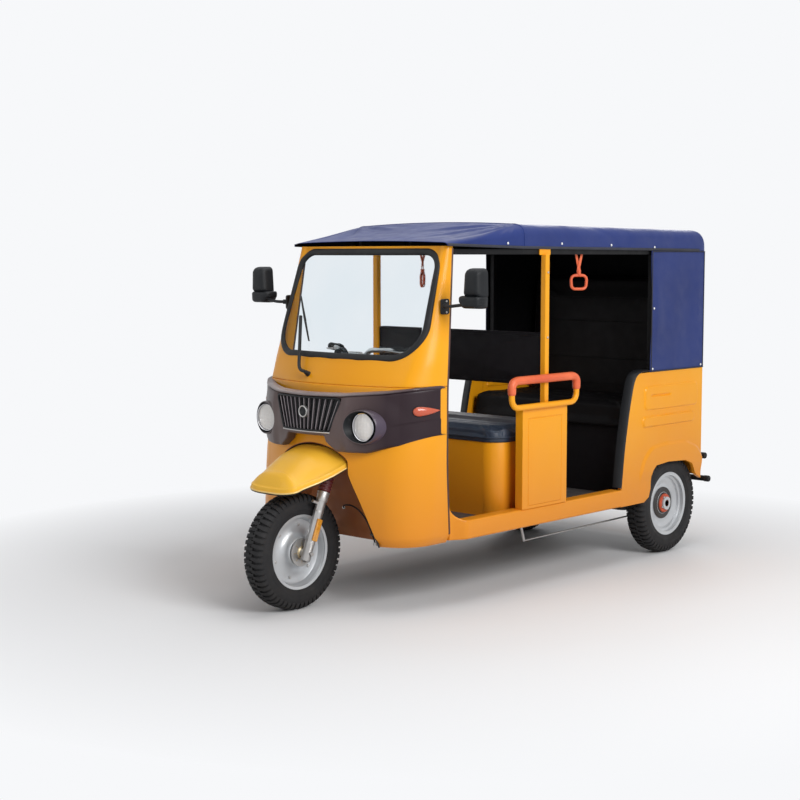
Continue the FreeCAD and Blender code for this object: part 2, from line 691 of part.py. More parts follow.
# Mudguard sections: station, half width, edge level, turned-down lip, crown level
GUARD_SECTIONS = [
    (d.guard_tip_y, 122, 531, 24, 562),
    (-1300, 139, 533, 26, 578),
    (-1235, 140, 553, 26, 638),
    (-1144, 140, 569, 24, 700),
    (d.guard_root_y, d.well_top_half - 0.8, d.chin_z, 3, d.well_top_z - 0.8),
]


def guard_wire(row, inset, drop=0.0):
    """One arch of the mudguard: level foot, upright lips, round crown."""
    y, half, edge_z, lip, crown_z = row
    half -= inset
    crown_z -= inset
    foot = edge_z - drop
    edges = [
        Part.LineSegment(vec(-half, y, foot), vec(half, y, foot)).toShape(),
        Part.LineSegment(vec(half, y, foot), vec(half, y, edge_z + lip)).toShape(),
        Part.Arc(vec(half, y, edge_z + lip), vec(0, y, crown_z), vec(-half, y, edge_z + lip)).toShape(),
        Part.LineSegment(vec(-half, y, edge_z + lip), vec(-half, y, foot)).toShape(),
    ]
    return Part.Wire(edges)


guard_outer = Part.makeLoft([guard_wire(row, 0) for row in GUARD_SECTIONS], True, True)
inner_rows = list(GUARD_SECTIONS)
inner_rows[0] = (d.guard_tip_y + d.guard_sheet,) + GUARD_SECTIONS[0][1:]
inner_rows[-1] = (d.guard_root_y + 1,) + GUARD_SECTIONS[-1][1:]
guard_inner = Part.makeLoft([guard_wire(row, d.guard_sheet, 6) for row in inner_rows], True, True)
feature("front_mudguard", guard_outer.cut(guard_inner))

# Mask, grille, lamps

def mask_plan(inset):
    """The mask's filled form in plan, from below its lobes to its top, moved in by the inset."""
    nose = vec(0, d.mask_nose_y + inset, 0)
    shoulder = vec(corner_x - inset * 0.5, d.mask_lamp_y + inset * 0.9, 0)
    end = vec(d.cab_half + 9 - inset, d.mask_end_y, 0)
    flip = lambda point: vec(-point.x, point.y, point.z)
    bow = (shoulder + end) * 0.5 + vec(13, -13, 0)
    edges = [
        Part.Arc(shoulder, nose, flip(shoulder)),
        Part.Arc(flip(shoulder), flip(bow), flip(end)),
        Part.LineSegment(flip(end), end),
        Part.Arc(end, bow, shoulder),
    ]
    face = Part.Face(Part.Wire([edge.toShape() for edge in edges]))
    face.translate(vec(0, 0, 690))
    return face.extrude(vec(0, 0, 310))


# Half of the mask's outline seen from the front: side distance and level
MASK_HALF = [(0, 946), (200, 949), (360, 962), (d.cab_half + 20, 984), (d.cab_half + 20, 778), (425, 742), (350, 704),
             (246, 704), (206, 736), (168, 770), (0, 770)]
mask_points = [vec(x, -1300, z) for x, z in MASK_HALF]
mask_points += [vec(-point.x, point.y, point.z) for point in mask_points[-2:0:-1]]
mask = mask_plan(0).common(prism(mask_points, vec(0, 600, 0)))
for side in (1, -1):
    collar_start = vec(side * d.lamp_x, -930, d.lamp_z)
    collar_end = vec(side * d.lamp_x, d.lamp_front_y - 12, d.lamp_z)
    mask = mask.fuse(rod(collar_start, collar_end, d.bezel_radius + 8))
mask = mask.cut(skin)
grille_points = [vec(x, -1300, z) for x, z in (
    (-d.grille_top_half, d.grille_top_z), (d.grille_top_half, d.grille_top_z),
    (d.grille_bottom_half, d.grille_bottom_z), (-d.grille_bottom_half, d.grille_bottom_z))]
mask = mask.cut(prism(grille_points, vec(0, 600, 0)).cut(mask_plan(24)))
for side in (1, -1):
    seat = vec(side * d.lamp_x, d.lamp_front_y + d.lamp_rim, d.lamp_z)
    mask = mask.cut(rod(seat, seat - vec(0, 200, 0), d.bezel_radius + d.seat_gap))
feature("front_mask", mask.cut(lamp_bores))

slats = []
slat_room = mask_plan(4).cut(mask_plan(4 + d.slat_depth))
count = int(d.slat_count)
for i in range(count):
    share = (i + 1) / (count + 1) * 2 - 1
    top_x = share * d.grille_top_half
    foot_x = share * d.grille_bottom_half
    half = d.slat_width / 2
    slat = prism([vec(top_x - half, -1300, d.grille_top_z), vec(top_x + half, -1300, d.grille_top_z),
                  vec(foot_x + half, -1300, d.grille_bottom_z), vec(foot_x - half, -1300, d.grille_bottom_z)],
                 vec(0, 600, 0))
    slats.append(slat.common(slat_room))
boss_z = (d.grille_top_z + d.grille_bottom_z) / 2 + 8
boss = rod(vec(0, -1300, boss_z), vec(0, -900, boss_z), d.boss_radius)
boss = boss.common(mask_plan(0).cut(mask_plan(4 + d.slat_depth)))
feature("grille", boss.fuse(slats).removeSplitter())

lamp = body_of("headlamp_left", ("lamp_x", "lamp_front_y", "lamp_z"))
spun(lamp, "headlamp_section", [
    ("-lamp_depth", "0"),
    ("9", "0", "230"),
    ("0", "lamp_radius"),
    ("-6", "lamp_radius + 3"),
    ("6", "bezel_radius - 3"),
    ("0", "bezel_radius"),
    ("-lamp_rim", "bezel_radius"),
    ("-lamp_rim", "lamp_radius + 1"),
    ("-lamp_depth", "lamp_radius - 12"),
])
lamp.Placement.Rotation = FreeCAD.Rotation(vec(0, 0, 1), -90)
pair("headlamps", lamp)

amber_x = corner_x - 40
amber = prism([vec(amber_x, y, z) for y, z in (
    (-918, 866), (-800, 870), (-770, 885), (-800, 896), (-918, 904))], vec(200, 0, 0))
amber = amber.common(mask_plan(-7).cut(mask_plan(0)))
feature("indicators", Part.makeCompound([amber, mirrored(amber)]))

# Windscreen, seal, wiper, dashboard

glass_skin = cab_solid(4).cut(cab_solid(4 + d.glass_thick))
glass_prism = Part.Face(screen_face(0, -1300)).extrude(vec(0, 900, 0))
glass_gap = Part.Face(screen_face(d.seat_gap, -1300)).extrude(vec(0, 900, 0))
seal_prism = Part.Face(screen_face(d.seal_width - d.seat_gap, -1300)).extrude(vec(0, 900, 0))
feature("windscreen", glass_skin.common(glass_prism))
seal = cab_solid(-5).cut(cab_solid(d.cab_wall)).common(seal_prism).cut(glass_gap)
feature("windscreen_seal", seal)

pivot = vec(-205, -946, 1030)
pivot_out = vec(0, -0.86, 0.51)
arm_foot = pivot + pivot_out * 20
arm_top = vec(-250, -846, 1275)
blade_low = vec(-215, -898, 1165)
blade_high = vec(-285, -790, 1385)
wiper = rod(pivot - pivot_out * 10, arm_foot, 9)
wiper = wiper.fuse([rod(arm_foot, arm_top, 5), rod(blade_low, blade_high, 6)])
feature("wiper", wiper.cut(skin))

dash = cab_solid(d.cab_wall).common(block(-d.cab_half, d.cab_half, -1000, -870, 1010, 1062))
dash = dash.fuse(block(-d.cab_half + 70, d.cab_half - 70, -880, -870, 985, 1062)).common(cab_solid(d.cab_wall))
gauge = rod(vec(0, -874, 1055), vec(0, -866, 1110), 9).fuse(rod(vec(0, -882, 1112), vec(0, -846, 1122), 26))
feature("dashboard", dash.fuse(gauge))

# Chassis, floor, sills

rail_top = d.sill_bottom_z + d.rail_height
rails = []
members = []
hanger_foot = d.tyre_radius - d.axle_tube_radius + d.spring_rise
for side in (1, -1):
    for y in (axle_rear_y - d.spring_half, axle_rear_y + d.spring_half - 14):
        members.append(block(side * d.rail_x - d.spring_width / 2, side * d.rail_x + d.spring_width / 2,
                             y, y + 14, hanger_foot, d.sill_bottom_z))
    inner = d.engine_half if side > 0 else -d.rail_x
    outer = d.rail_x if side > 0 else -d.engine_half
    for y in (d.engine_front_y + 40, d.engine_front_y + d.engine_length - 90):
        members.append(block(inner, outer, y, y + 50, d.sill_bottom_z, rail_top))
    rails.append(block(side * d.rail_x - d.rail_width / 2, side * d.rail_x + d.rail_width / 2,
                       d.rail_front_y, d.rail_rear_y, d.sill_bottom_z, rail_top))
for y in (d.rail_front_y, -560, d.seat_rear_y + 20, 520, d.rail_rear_y - 40):
    half = d.sill_half - d.sill_width if d.rail_front_y < y < d.tail_front_y else d.rail_x + 50
    members.append(block(-half, half, y, y + 40, d.sill_bottom_z, rail_top))
runs = [piece for member in members for piece in member.cut(rails).Solids]
feature("chassis_frame", Part.makeCompound(rails + runs))

deck = prism([vec(x, y, d.floor_z - d.floor_sheet) for x, y in (
    (d.floor_half, d.bench_front_y + 30), (d.floor_half, -790), (330, -1000), (-330, -1000),
    (-d.floor_half, -790), (-d.floor_half, d.bench_front_y + 30))], vec(0, 0, d.floor_sheet))
deck = deck.common(hollow.fuse(block(-600, 600, -20, 1500, 200, 400)))
deck = deck.cut(well_solid(d.well_sheet, d.cab_bottom_z - 20, d.well_sheet))
engine_room = block(-d.engine_half - 10, d.engine_half + 10, d.engine_front_y - 10,
                    d.engine_front_y + d.engine_length + 10, 0, 1000)
mat = block(-d.mat_half, d.mat_half, d.seat_rear_y + d.mat_margin, d.bench_front_y - d.mat_margin,
            d.floor_z, d.floor_z + d.mat_thick)
feature("floor_pan", deck.cut(engine_room).fuse(mat))

sill = body_of("sill_left")
pad(sill, "sill_pad", "XY_Plane", [
    ("sill_half - sill_width", "sill_front_y"),
    ("cab_half - 2", "sill_front_y"),
    ("sill_half", "sill_front_y + 70"),
    ("sill_half", "tail_front_y"),
    ("sill_half - sill_width", "tail_front_y"),
], "sill_top_z - sill_bottom_z", "sill_bottom_z")
pair("side_sills", sill)

# Seat box, cushions, partition, posts, hoops

def seat_plan(grow, front_grow, z):
    """The seat box in plan, its front corners rounded."""
    half = d.seat_half + grow
    front = d.seat_front_y - front_grow
    radius = d.seat_corner + grow
    return rounded([(vec(half, front, z), radius), (vec(half, d.seat_rear_y, z), 4),
                    (vec(-half, d.seat_rear_y, z), 4), (vec(-half, front, z), radius)])


box_outer = Part.Face(seat_plan(0, 0, d.floor_z)).extrude(vec(0, 0, d.seat_top_z - d.floor_z))
box_inner = Part.Face(seat_plan(-d.seat_wall, -d.seat_wall, d.floor_z - 5)).extrude(
    vec(0, 0, d.seat_top_z - d.floor_z + 5 - d.seat_wall))
box_inner = box_inner.cut(block(-600, 600, d.seat_rear_y - d.seat_wall, 600, 0, 1000))
feature("seat_box", box_outer.cut(box_inner))

cushion_z = d.seat_top_z + d.seat_gap
cushion_outline = Part.Face(seat_plan(6, d.cushion_lip, cushion_z)).extrude(vec(0, 0, d.cushion_thick))
front_half = block(-600, 600, -600, d.board_y - 4, 0, 2000)
rear_half = block(-600, 600, d.board_y + d.board_thick + 4, 600, 0, 2000)
feature("driver_cushion", cushion_outline.common(front_half))
feature("jump_cushion", cushion_outline.common(rear_half))

post_inner = d.post_outer - d.post_size
feature("partition_board", block(-post_inner, post_inner, d.board_y, d.board_y + d.board_thick,
                                 d.board_bottom_z, d.board_top_z))

panel = block(d.tail_half - d.panel_width, d.tail_half, d.panel_front_y, d.panel_rear_y,
              d.sill_top_z, d.panel_top_z)


def groove_block(inset):
    """A block that reaches into the post panel's outer face, moved in from the panel's edges."""
    edge = d.groove_margin + inset
    return block(d.tail_half - 2, d.tail_half + 2, d.panel_front_y + edge, d.panel_rear_y - edge,
                 d.sill_top_z + edge / 3, d.panel_top_z - edge)


panel = panel.cut(groove_block(0).cut(groove_block(d.groove_width)))
feature("post_panels", Part.makeCompound([panel, mirrored(panel)]))

post = body_of("door_post_left")
pad(post, "post_pad", "XY_Plane", [
    ("post_outer - post_size", "post_y - post_size / 2"),
    ("post_outer", "post_y - post_size / 2"),
    ("post_outer", "post_y + post_size / 2"),
    ("post_outer - post_size", "post_y + post_size / 2"),
], "roof_rail_top_z - rail_tube - panel_top_z", "panel_top_z")
pair("door_posts", post)

hoop_x = d.post_outer + d.hoop_radius
hoop_path = [vec(hoop_x, y, z) for y, z in (
    (d.hoop_front_y, d.hoop_top_z), (d.hoop_front_y, d.hoop_foot_z),
    (d.hoop_rear_y, d.hoop_foot_z), (d.hoop_rear_y, d.hoop_top_z))]
hoop = bent(hoop_path, d.hoop_radius, d.hoop_bend, closed=True)
feature("grab_hoops", Part.makeCompound([hoop, mirrored(hoop)]))
pad_path = [vec(hoop_x, d.hoop_front_y, d.hoop_top_z - 62), vec(hoop_x, d.hoop_front_y, d.hoop_top_z),
            vec(hoop_x, d.hoop_rear_y, d.hoop_top_z), vec(hoop_x, d.hoop_rear_y, d.hoop_top_z - 62)]
sleeve = bent(pad_path, d.hoop_radius + d.pad_wall, d.hoop_bend)
sleeve = sleeve.cut(bent(pad_path, d.hoop_radius + d.seat_gap, d.hoop_bend))
sleeve = sleeve.cut(block(500, d.post_outer + d.seat_gap, -400, 300, 800, 1100))
feature("hoop_pads", Part.makeCompound([sleeve, mirrored(sleeve)]))

# Roof frame and roof sheet

rail_outer = d.roof_rail_x
rail_inner = rail_outer - d.rail_tube
rail_foot = d.roof_rail_top_z - d.rail_tube
neck_x = d.cab_top_half - d.cab_wall - 2
bars = []
side_rail = prism([vec(x, y, rail_foot) for x, y in (
    (rail_outer, d.peak_y), (rail_outer, d.canopy_rear_y - 12), (rail_inner, d.canopy_rear_y - 12),
    (rail_inner, d.peak_y), (neck_x - d.rail_tube, -640), (neck_x, -640))], vec(0, 0, d.rail_tube))
bars += [side_rail, mirrored(side_rail)]
members = [block(-neck_x, neck_x, -652, -652 + d.rail_tube, rail_foot, d.roof_rail_top_z)]


def bow(y, crown):
    """A roof bow from rail to rail: two upright ends and a low round crown."""
    def wire(inset):
        points = [vec(rail_outer - inset, y, rail_foot), vec(rail_outer - inset, y, crown - 62 - inset * 0.6),
                  vec(rail_outer - 62 - inset, y, crown - 14 - inset), vec(0, y, crown - inset)]
        flip = [vec(-point.x, y, point.z) for point in points]
        return Part.Wire([
            Part.LineSegment(points[0], points[1]).toShape(),
            Part.LineSegment(points[1], points[2]).toShape(),
            Part.Arc(points[2], points[3], flip[2]).toShape(),
            Part.LineSegment(flip[2], flip[1]).toShape(),
            Part.LineSegment(flip[1], flip[0]).toShape(),
            Part.LineSegment(flip[0], points[0]).toShape(),
        ])
    band = Part.Face(wire(0)).cut(Part.Face(wire(20)))
    return band.extrude(vec(0, 20, 0))


bows = []
for y in (d.peak_y, 150, 520, 880, d.canopy_rear_y - d.rear_bow_in):
    share = (y - d.peak_y) / (d.canopy_rear_y - d.peak_y)
    bows.append(bow(y, d.canopy_crown_z - d.crown_fall * share - d.canopy_sheet - 7).cut(bars))
for y in (d.curtain_front_y + 20, d.canopy_rear_y - 44):
    for side in (1, -1):
        low = min(side * rail_inner, side * rail_outer)
        members.append(block(low, low + d.rail_tube, y, y + d.rail_tube, d.tail_top_z, rail_foot))
feature("roof_bows", Part.makeCompound(bows))
runs = [piece for member in members for piece in member.cut(bars + bows).Solids]
feature("roof_frame", Part.makeCompound(bars + runs))

# Roof sheet sections: station, half width, edge level, shoulder level, corner x, corner level, crown
CANOPY_SECTIONS = [
    (d.canopy_front_y, d.cab_top_half + 16, 1601, 1606, d.cab_top_half - 36, 1617, 1624),
    (d.peak_y, 540, 1590, 1652, 462, 1702, d.canopy_crown_z),
    (d.canopy_rear_y, d.canopy_half, d.canopy_edge_z, 1652, 468, 1690, d.canopy_crown_z - d.crown_fall),
]


def canopy_wire(row, inset, shift=0.0):
    """One arch of the roof sheet: hem, upright edge, round shoulder, low crown."""
    y, half, edge_z, shoulder_z, corner_x, corner_z, crown_z = row
    y += shift
    edge_z -= inset
    half -= inset
    corner_x -= inset * 0.5
    corner_z -= inset
    crown_z -= inset
    points = [vec(half, y, edge_z), vec(half, y, shoulder_z), vec(corner_x, y, corner_z), vec(0, y, crown_z)]
    flip = [vec(-point.x, y, point.z) for point in points]
    bow_x = half - (half - corner_x) * 0.3
    bow_z = corner_z - (corner_z - shoulder_z) * 0.22
    return Part.Wire([
        Part.LineSegment(flip[0], points[0]).toShape(),
        Part.LineSegment(points[0], points[1]).toShape(),
        Part.Arc(points[1], vec(bow_x, y, bow_z), points[2]).toShape(),
        Part.Arc(points[2], points[3], flip[2]).toShape(),
        Part.Arc(flip[2], vec(-bow_x, y, bow_z), flip[1]).toShape(),
        Part.LineSegment(flip[1], flip[0]).toShape(),
    ])


def shoulder_limit(inset):
    """The side view of the roof's tail, filled: level, then a round shoulder down to the rear face."""
    rear_y = d.canopy_rear_y - inset
    top_z = d.canopy_crown_z - d.crown_fall - inset
    radius = d.canopy_round - inset
    start = vec(-800, rear_y - radius, top_z)
    turn = vec(-800, rear_y - radius * (1 - math.cos(math.pi / 4)), top_z - radius * (1 - math.sin(math.pi / 4)))
    end = vec(-800, rear_y, top_z - radius)
    corners = [end, vec(-800, rear_y, 1400), vec(-800, -900, 1400), vec(-800, -900, 2000),
               vec(-800, rear_y - radius, 2000), start]
    edges = [Part.Arc(start, turn, end).toShape()]
    edges += [Part.LineSegment(one, other).toShape() for one, other in zip(corners, corners[1:])]
    return Part.Face(Part.Wire(edges)).extrude(vec(1600, 0, 0))


roof_outer = Part.makeLoft([canopy_wire(row, 0) for row in CANOPY_SECTIONS], True, True)
roof_outer = roof_outer.common(shoulder_limit(0))
roof_rows = [(d.canopy_front_y - 1,) + CANOPY_SECTIONS[0][1:]] + CANOPY_SECTIONS[1:2]
roof_rows += [(d.canopy_rear_y - d.canopy_sheet,) + CANOPY_SECTIONS[2][1:]]
roof_inner = Part.makeLoft([canopy_wire(row, d.canopy_sheet) for row in roof_rows], True, True)
roof_inner = roof_inner.common(shoulder_limit(d.canopy_sheet))
feature("canopy_top", roof_outer.cut(roof_inner))

curtain_top = d.canopy_edge_z - d.seat_gap
curtain = block(d.canopy_half - 10, d.canopy_half - 4, d.curtain_front_y, d.canopy_rear_y - d.canopy_sheet,
                d.tail_top_z + d.seat_gap, curtain_top)
feature("canopy_sides", Part.makeCompound([curtain, mirrored(curtain)]))
curtain_half = d.canopy_half - 4
feature("canopy_rear", block(-curtain_half, curtain_half, d.canopy_rear_y - d.canopy_sheet + d.seat_gap,
                             d.canopy_rear_y, d.tail_top_z + d.seat_gap, curtain_top))

# Tail: quarter panels, tail panel, bench

QUARTER = [
    (d.tail_front_y, d.sill_bottom_z), (784, d.sill_bottom_z), (826, 322), (842, 362), (845, 432),
    (858, 462), (884, 482), (996, d.arch_top_z), (1160, 483), (1222, 462), (1252, 428), (1276, 396),
    (d.tail_rear_y, d.tail_bottom_z), (d.tail_rear_y, d.tail_top_z), (735, d.tail_top_z),
    (700, 955), (682, 928), (639, 786), (600, 588), (d.tail_front_y, d.sill_top_z),
]


def pressed(front_y, rear_y, foot_z, top_z, corner, height=d.relief):
    """A raised form on the left quarter panel: a rounded rectangle with sloping sides."""
    wires = []
    for x, grow in ((sheet_x - 1, 1.5), (sheet_x, 0), (sheet_x + height, -height * 1.6)):
        wires.append(rounded([
            (vec(x, rear_y + grow, foot_z - grow), corner + grow), (vec(x, rear_y + grow, top_z + grow), corner + grow),
            (vec(x, front_y - grow, top_z + grow), corner + grow), (vec(x, front_y - grow, foot_z - grow), corner + grow)]))
    return Part.makeLoft(wires[1:], True, True).fuse(Part.makeLoft(wires[:2], True, True))


def flare_outline(x, width):
    """The wheel arch's flare in side view: round corners under a nearly level top."""
    rear_y = d.tail_rear_y + 60
    top_z = d.arch_top_z + width
    front_y = 846 - width * 0.8
    points = [vec(x, front_y, 430), vec(x, rear_y, 330), vec(x, rear_y, top_z - 150), vec(x, 1180, top_z),
              vec(x, 880, top_z)]
    edges = [Part.LineSegment(points[0], points[1]).toShape(), Part.LineSegment(points[1], points[2]).toShape(),
             Part.Arc(points[2], vec(x, rear_y - 96, top_z - 34), points[3]).toShape(),
             Part.LineSegment(points[3], points[4]).toShape(),
             Part.Arc(points[4], vec(x, front_y + 26, top_z - 62), points[0]).toShape()]
    return Part.Wire(edges)


sheet_x = d.tail_half - d.relief
quarter = prism([vec(d.tail_half - d.tail_wall, y, z) for y, z in QUARTER], vec(sheet_x - d.tail_half + d.tail_wall, 0, 0))
quarter_limit = prism([vec(d.tail_half - d.tail_wall, y, z) for y, z in QUARTER], vec(d.tail_wall, 0, 0))
flare = Part.makeLoft([flare_outline(sheet_x - 1, d.flare_width + 2), flare_outline(d.tail_half, d.flare_width - 10)],
                      True, True).common(quarter_limit)
field = pressed(772, 1272, 770, 896, 30, d.relief - 1)
bead = pressed(756, 1245, 684, 742, 26)
slot = block(sheet_x, d.tail_half + 1, 826, 1010, 838, 851)
quarter = quarter.fuse([flare, field.cut(slot), bead]).removeSplitter()
feature("quarter_panel_left", quarter)
feature("quarter_panel_right", mirrored(quarter))
tail_inner = d.tail_half - d.tail_wall
tail = block(-tail_inner, tail_inner, d.tail_rear_y - d.tail_wall, d.tail_rear_y, d.tail_panel_foot_z,
             d.tail_top_z)
for side in (1, -1):
    hole = vec(side * d.plate_spacing / 2, d.tail_rear_y - 20, d.plate_z)
    tail = tail.cut(rod(hole, hole + vec(0, 40, 0), d.plate_hole_radius))
feature("tail_panel", tail)

# The bench's box is made of boards that meet edge to edge; its ends roof over the wheels
bench_foot_z = d.floor_z - d.floor_sheet
box_front_y = d.bench_front_y + 30
box_rear_y = d.tail_rear_y - d.tail_wall
box_in_front_y = box_front_y + d.bench_wall
box_in_rear_y = box_rear_y - d.bench_wall
lid_foot_z = d.bench_base_z - d.bench_wall
boards = [
    block(-tail_inner, tail_inner, box_front_y, box_in_front_y, bench_foot_z, lid_foot_z),
    block(-d.house_half, d.house_half, box_in_rear_y, box_rear_y, bench_foot_z, lid_foot_z),
    block(-tail_inner, tail_inner, box_front_y, box_rear_y, lid_foot_z, d.bench_base_z),
]
for side in (1, -1):
    inner_x = side * (d.house_half - d.bench_wall)
    house_x = side * d.house_half
    end_x = side * tail_inner
    boards.append(block(min(inner_x, house_x), max(inner_x, house_x), box_in_front_y, box_in_rear_y,
                        bench_foot_z, lid_foot_z))
    boards.append(block(min(house_x, end_x), max(house_x, end_x), box_in_front_y, box_rear_y,
                        d.house_top_z, d.house_top_z + d.bench_wall))
feature("bench_base", Part.makeCompound(boards))

bench_half = tail_inner - d.bench_gap
cushion = block(-bench_half, bench_half, d.bench_front_y, d.bench_front_y + d.bench_depth,
                d.bench_base_z + d.seat_gap, d.bench_top_z)
feature("bench_cushion", cushion)
back_low = d.bench_front_y + d.bench_depth + d.seat_gap
back = prism([
    vec(10 - bench_half, back_low, d.bench_base_z + d.seat_gap),
    vec(10 - bench_half, back_low + 90, d.bench_base_z + d.seat_gap),
    vec(10 - bench_half, d.bench_back_y, d.bench_back_z),
    vec(10 - bench_half, d.bench_back_y - 70, d.bench_back_z),
], vec(2 * bench_half - 20, 0, 0))
feature("bench_back", back)

# Mirrors, straps

pillar_share = (d.mirror_foot_z + 6 - d.scuttle_z) / (d.cab_top_z - d.scuttle_z)
pillar_x = d.cab_half + (d.cab_top_half - d.cab_half) * pillar_share
plate = block(pillar_x - 11, pillar_x + 17, -742, -690, d.mirror_foot_z - 30, d.mirror_foot_z + 42)
plate = plate.common(cab_solid(-7)).cut(cab_solid(0))
inner_x = d.mirror_half - d.mirror_width
arm = bent([vec(pillar_x - 10, -728, d.mirror_foot_z + 8), vec(pillar_x + 57, -756, d.mirror_foot_z + 8),
            vec(inner_x - 10, -742, d.mirror_foot_z + 16)], 7, 20)


def housing(corners):
    """A moulded mirror housing: its outline on the glass side, smaller and rounder at its back."""
    middle = sum((vec(x, 0, z) for x, z, radius in corners), vec(0, 0, 0)) * (1 / len(corners))
    wires = []
    for depth, size in ((0, 1.0), (0.72, 1.0), (1.0, 0.84)):
        y = d.mirror_face_y - depth * d.mirror_depth
        spots = [(middle + (vec(x, 0, z) - middle) * size + vec(0, y, 0), radius * size) for x, z, radius in corners]
        wires.append(rounded(spots))
    return Part.makeLoft(wires, True, True)


high = housing([(d.mirror_half - 1, d.mirror_step_z - 8, 8), (d.mirror_half - 4, d.mirror_top_z, 20),
                (inner_x + 8, d.mirror_top_z, 20), (inner_x, d.mirror_step_z - 8, 8)])
low = housing([(d.mirror_half - 2, d.mirror_foot_z, 16), (d.mirror_half, d.mirror_step_z, 8),
               (inner_x - 26, d.mirror_step_z, 8), (inner_x - 26, d.mirror_foot_z + 30, 8),
               (inner_x - 12, d.mirror_foot_z, 10)])
mirror = plate.fuse([arm, low, high]).cut(skin)
feature("mirrors", Part.makeCompound([mirror, mirrored(mirror)]))

strap_x = rail_inner
strap = block(strap_x - 3, strap_x, 240, 262, 1452, rail_foot + 12)


def ring_face(inset):
    """The strap ring's outline seen from the side, moved in by the inset."""
    corners = []
    for y, z, in_y, in_z in ((202, 1468, 1, -1), (300, 1468, -1, -1), (286, 1390, -1, 1), (216, 1390, 1, 1)):
        corner = vec(strap_x - 7, y + in_y * inset, z + in_z * inset)
        corners.append((corner, 17 - inset * 0.7))
    return Part.Face(rounded(corners))


ring = ring_face(0).cut(ring_face(15)).extrude(vec(10, 0, 0))
strap = strap.fuse(ring)
feature("hand_straps", Part.makeCompound([strap, mirrored(strap)]))

# Rear bumper, lamps, engine, axle, springs

bumper = []
bumper_y = d.bumper_rear_y - d.bumper_collar
half_collar = d.bumper_collar_width / 2
for z, half_length in ((d.bumper_high_z, d.bumper_high_half), (d.bumper_low_z, d.bumper_half)):
    middle = vec(0, bumper_y, z)
    half_tube = vec(half_length, 0, 0)
    bumper.append(rod(middle - half_tube, middle + half_tube, d.bumper_radius))
    for x in (-d.rail_x, d.rail_x):
        bumper.append(rod(middle + vec(x - half_collar, 0, 0), middle + vec(x + half_collar, 0, 0), d.bumper_collar))
for x in (-d.rail_x, d.rail_x):
    foot = d.sill_bottom_z + 4
    bumper.append(block(x - half_collar, x + half_collar, d.rail_rear_y, bumper_y, foot, foot + 30))
    bumper.append(block(x - half_collar, x + half_collar, bumper_y - 25, bumper_y - 5, foot, d.bumper_high_z))
feature("rear_bumper", bumper[0].fuse(bumper[1:]).removeSplitter())

tail_lamp = block(380, 500, d.tail_rear_y, d.tail_rear_y + 26, 640, 720)
feature("tail_lamps", Part.makeCompound([tail_lamp, mirrored(tail_lamp)]))

engine = doc.addObject("Part::Box", "engine_block")
engine.setExpression("Length", bound("2 * engine_half"))
engine.setExpression("Width", bound("engine_length"))
engine.setExpression("Height", bound("engine_height"))
place(engine, ("-engine_half", "engine_front_y", "engine_bottom_z"))
node(engine, "engine_block")

axle_mid = vec(0, axle_rear_y, d.tyre_radius)
half_tube = vec(d.axle_end_x, 0, 0)
tube = rod(axle_mid - half_tube, axle_mid + half_tube, d.axle_tube_radius)
half_shaft = vec(d.track_half + d.rear_hub_out, 0, 0)
shaft = rod(axle_mid - half_shaft, axle_mid + half_shaft, d.rear_axle_radius)
half_drive = vec(d.final_drive_half, 0, 0)
drive = rod(axle_mid - half_drive, axle_mid + half_drive, d.final_drive_radius)
for side in (1, -1):
    flank = Part.makeCone(d.final_drive_radius, d.axle_tube_radius + 6, d.final_drive_half,
                          axle_mid + vec(side * d.final_drive_half, 0, 0), vec(side, 0, 0))
    drive = drive.fuse(flank)
backs = []
for side in (1, -1):
    start = axle_mid + vec(side * (d.axle_end_x - 2), 0, 0)
    backs.append(rod(start, start + vec(side * 8, 0, 0), d.drum_radius + 6))
prop = rod(vec(0, d.engine_front_y + d.engine_length, d.tyre_radius), axle_mid, 20)
feature("rear_axle", tube.fuse([shaft, drive, prop] + backs).removeSplitter())

leaf_low = vec(0, 0, -d.leaf_thick)
spring_seat_z = d.tyre_radius - d.axle_tube_radius
leaves = []
for i, share in enumerate((1.0, 0.74, 0.48)):
    reach = d.spring_half * share
    rise = d.spring_rise * share * share
    top = spring_seat_z - i * d.leaf_thick
    line = [vec(d.rail_x - d.spring_width / 2, axle_rear_y + step * reach, top + rise * part_of_rise)
            for step, part_of_rise in ((-1, 1), (-0.6, 0.32), (-0.25, 0), (0.25, 0), (0.6, 0.32), (1, 1))]
    leaves.append(prism(line + [point + leaf_low for point in line[::-1]], vec(d.spring_width, 0, 0)))
spring = leaves[0].fuse(leaves[1:]).removeSplitter()
feature("leaf_springs", Part.makeCompound([spring, mirrored(spring)]))

# The front brake cable: from its clip under the left rail, up inside the wheel well, behind the tyre
# and through a grommet in the well's back wall
CABLE_ROUTE = [
    vec(232, -889, 286), vec(224, -891, 330), vec(210, -900, 378), vec(190, -918, 420),
    vec(152, -935, 446), vec(104, -935, 447), vec(58, -915, 434), vec(26, -878, 420),
]


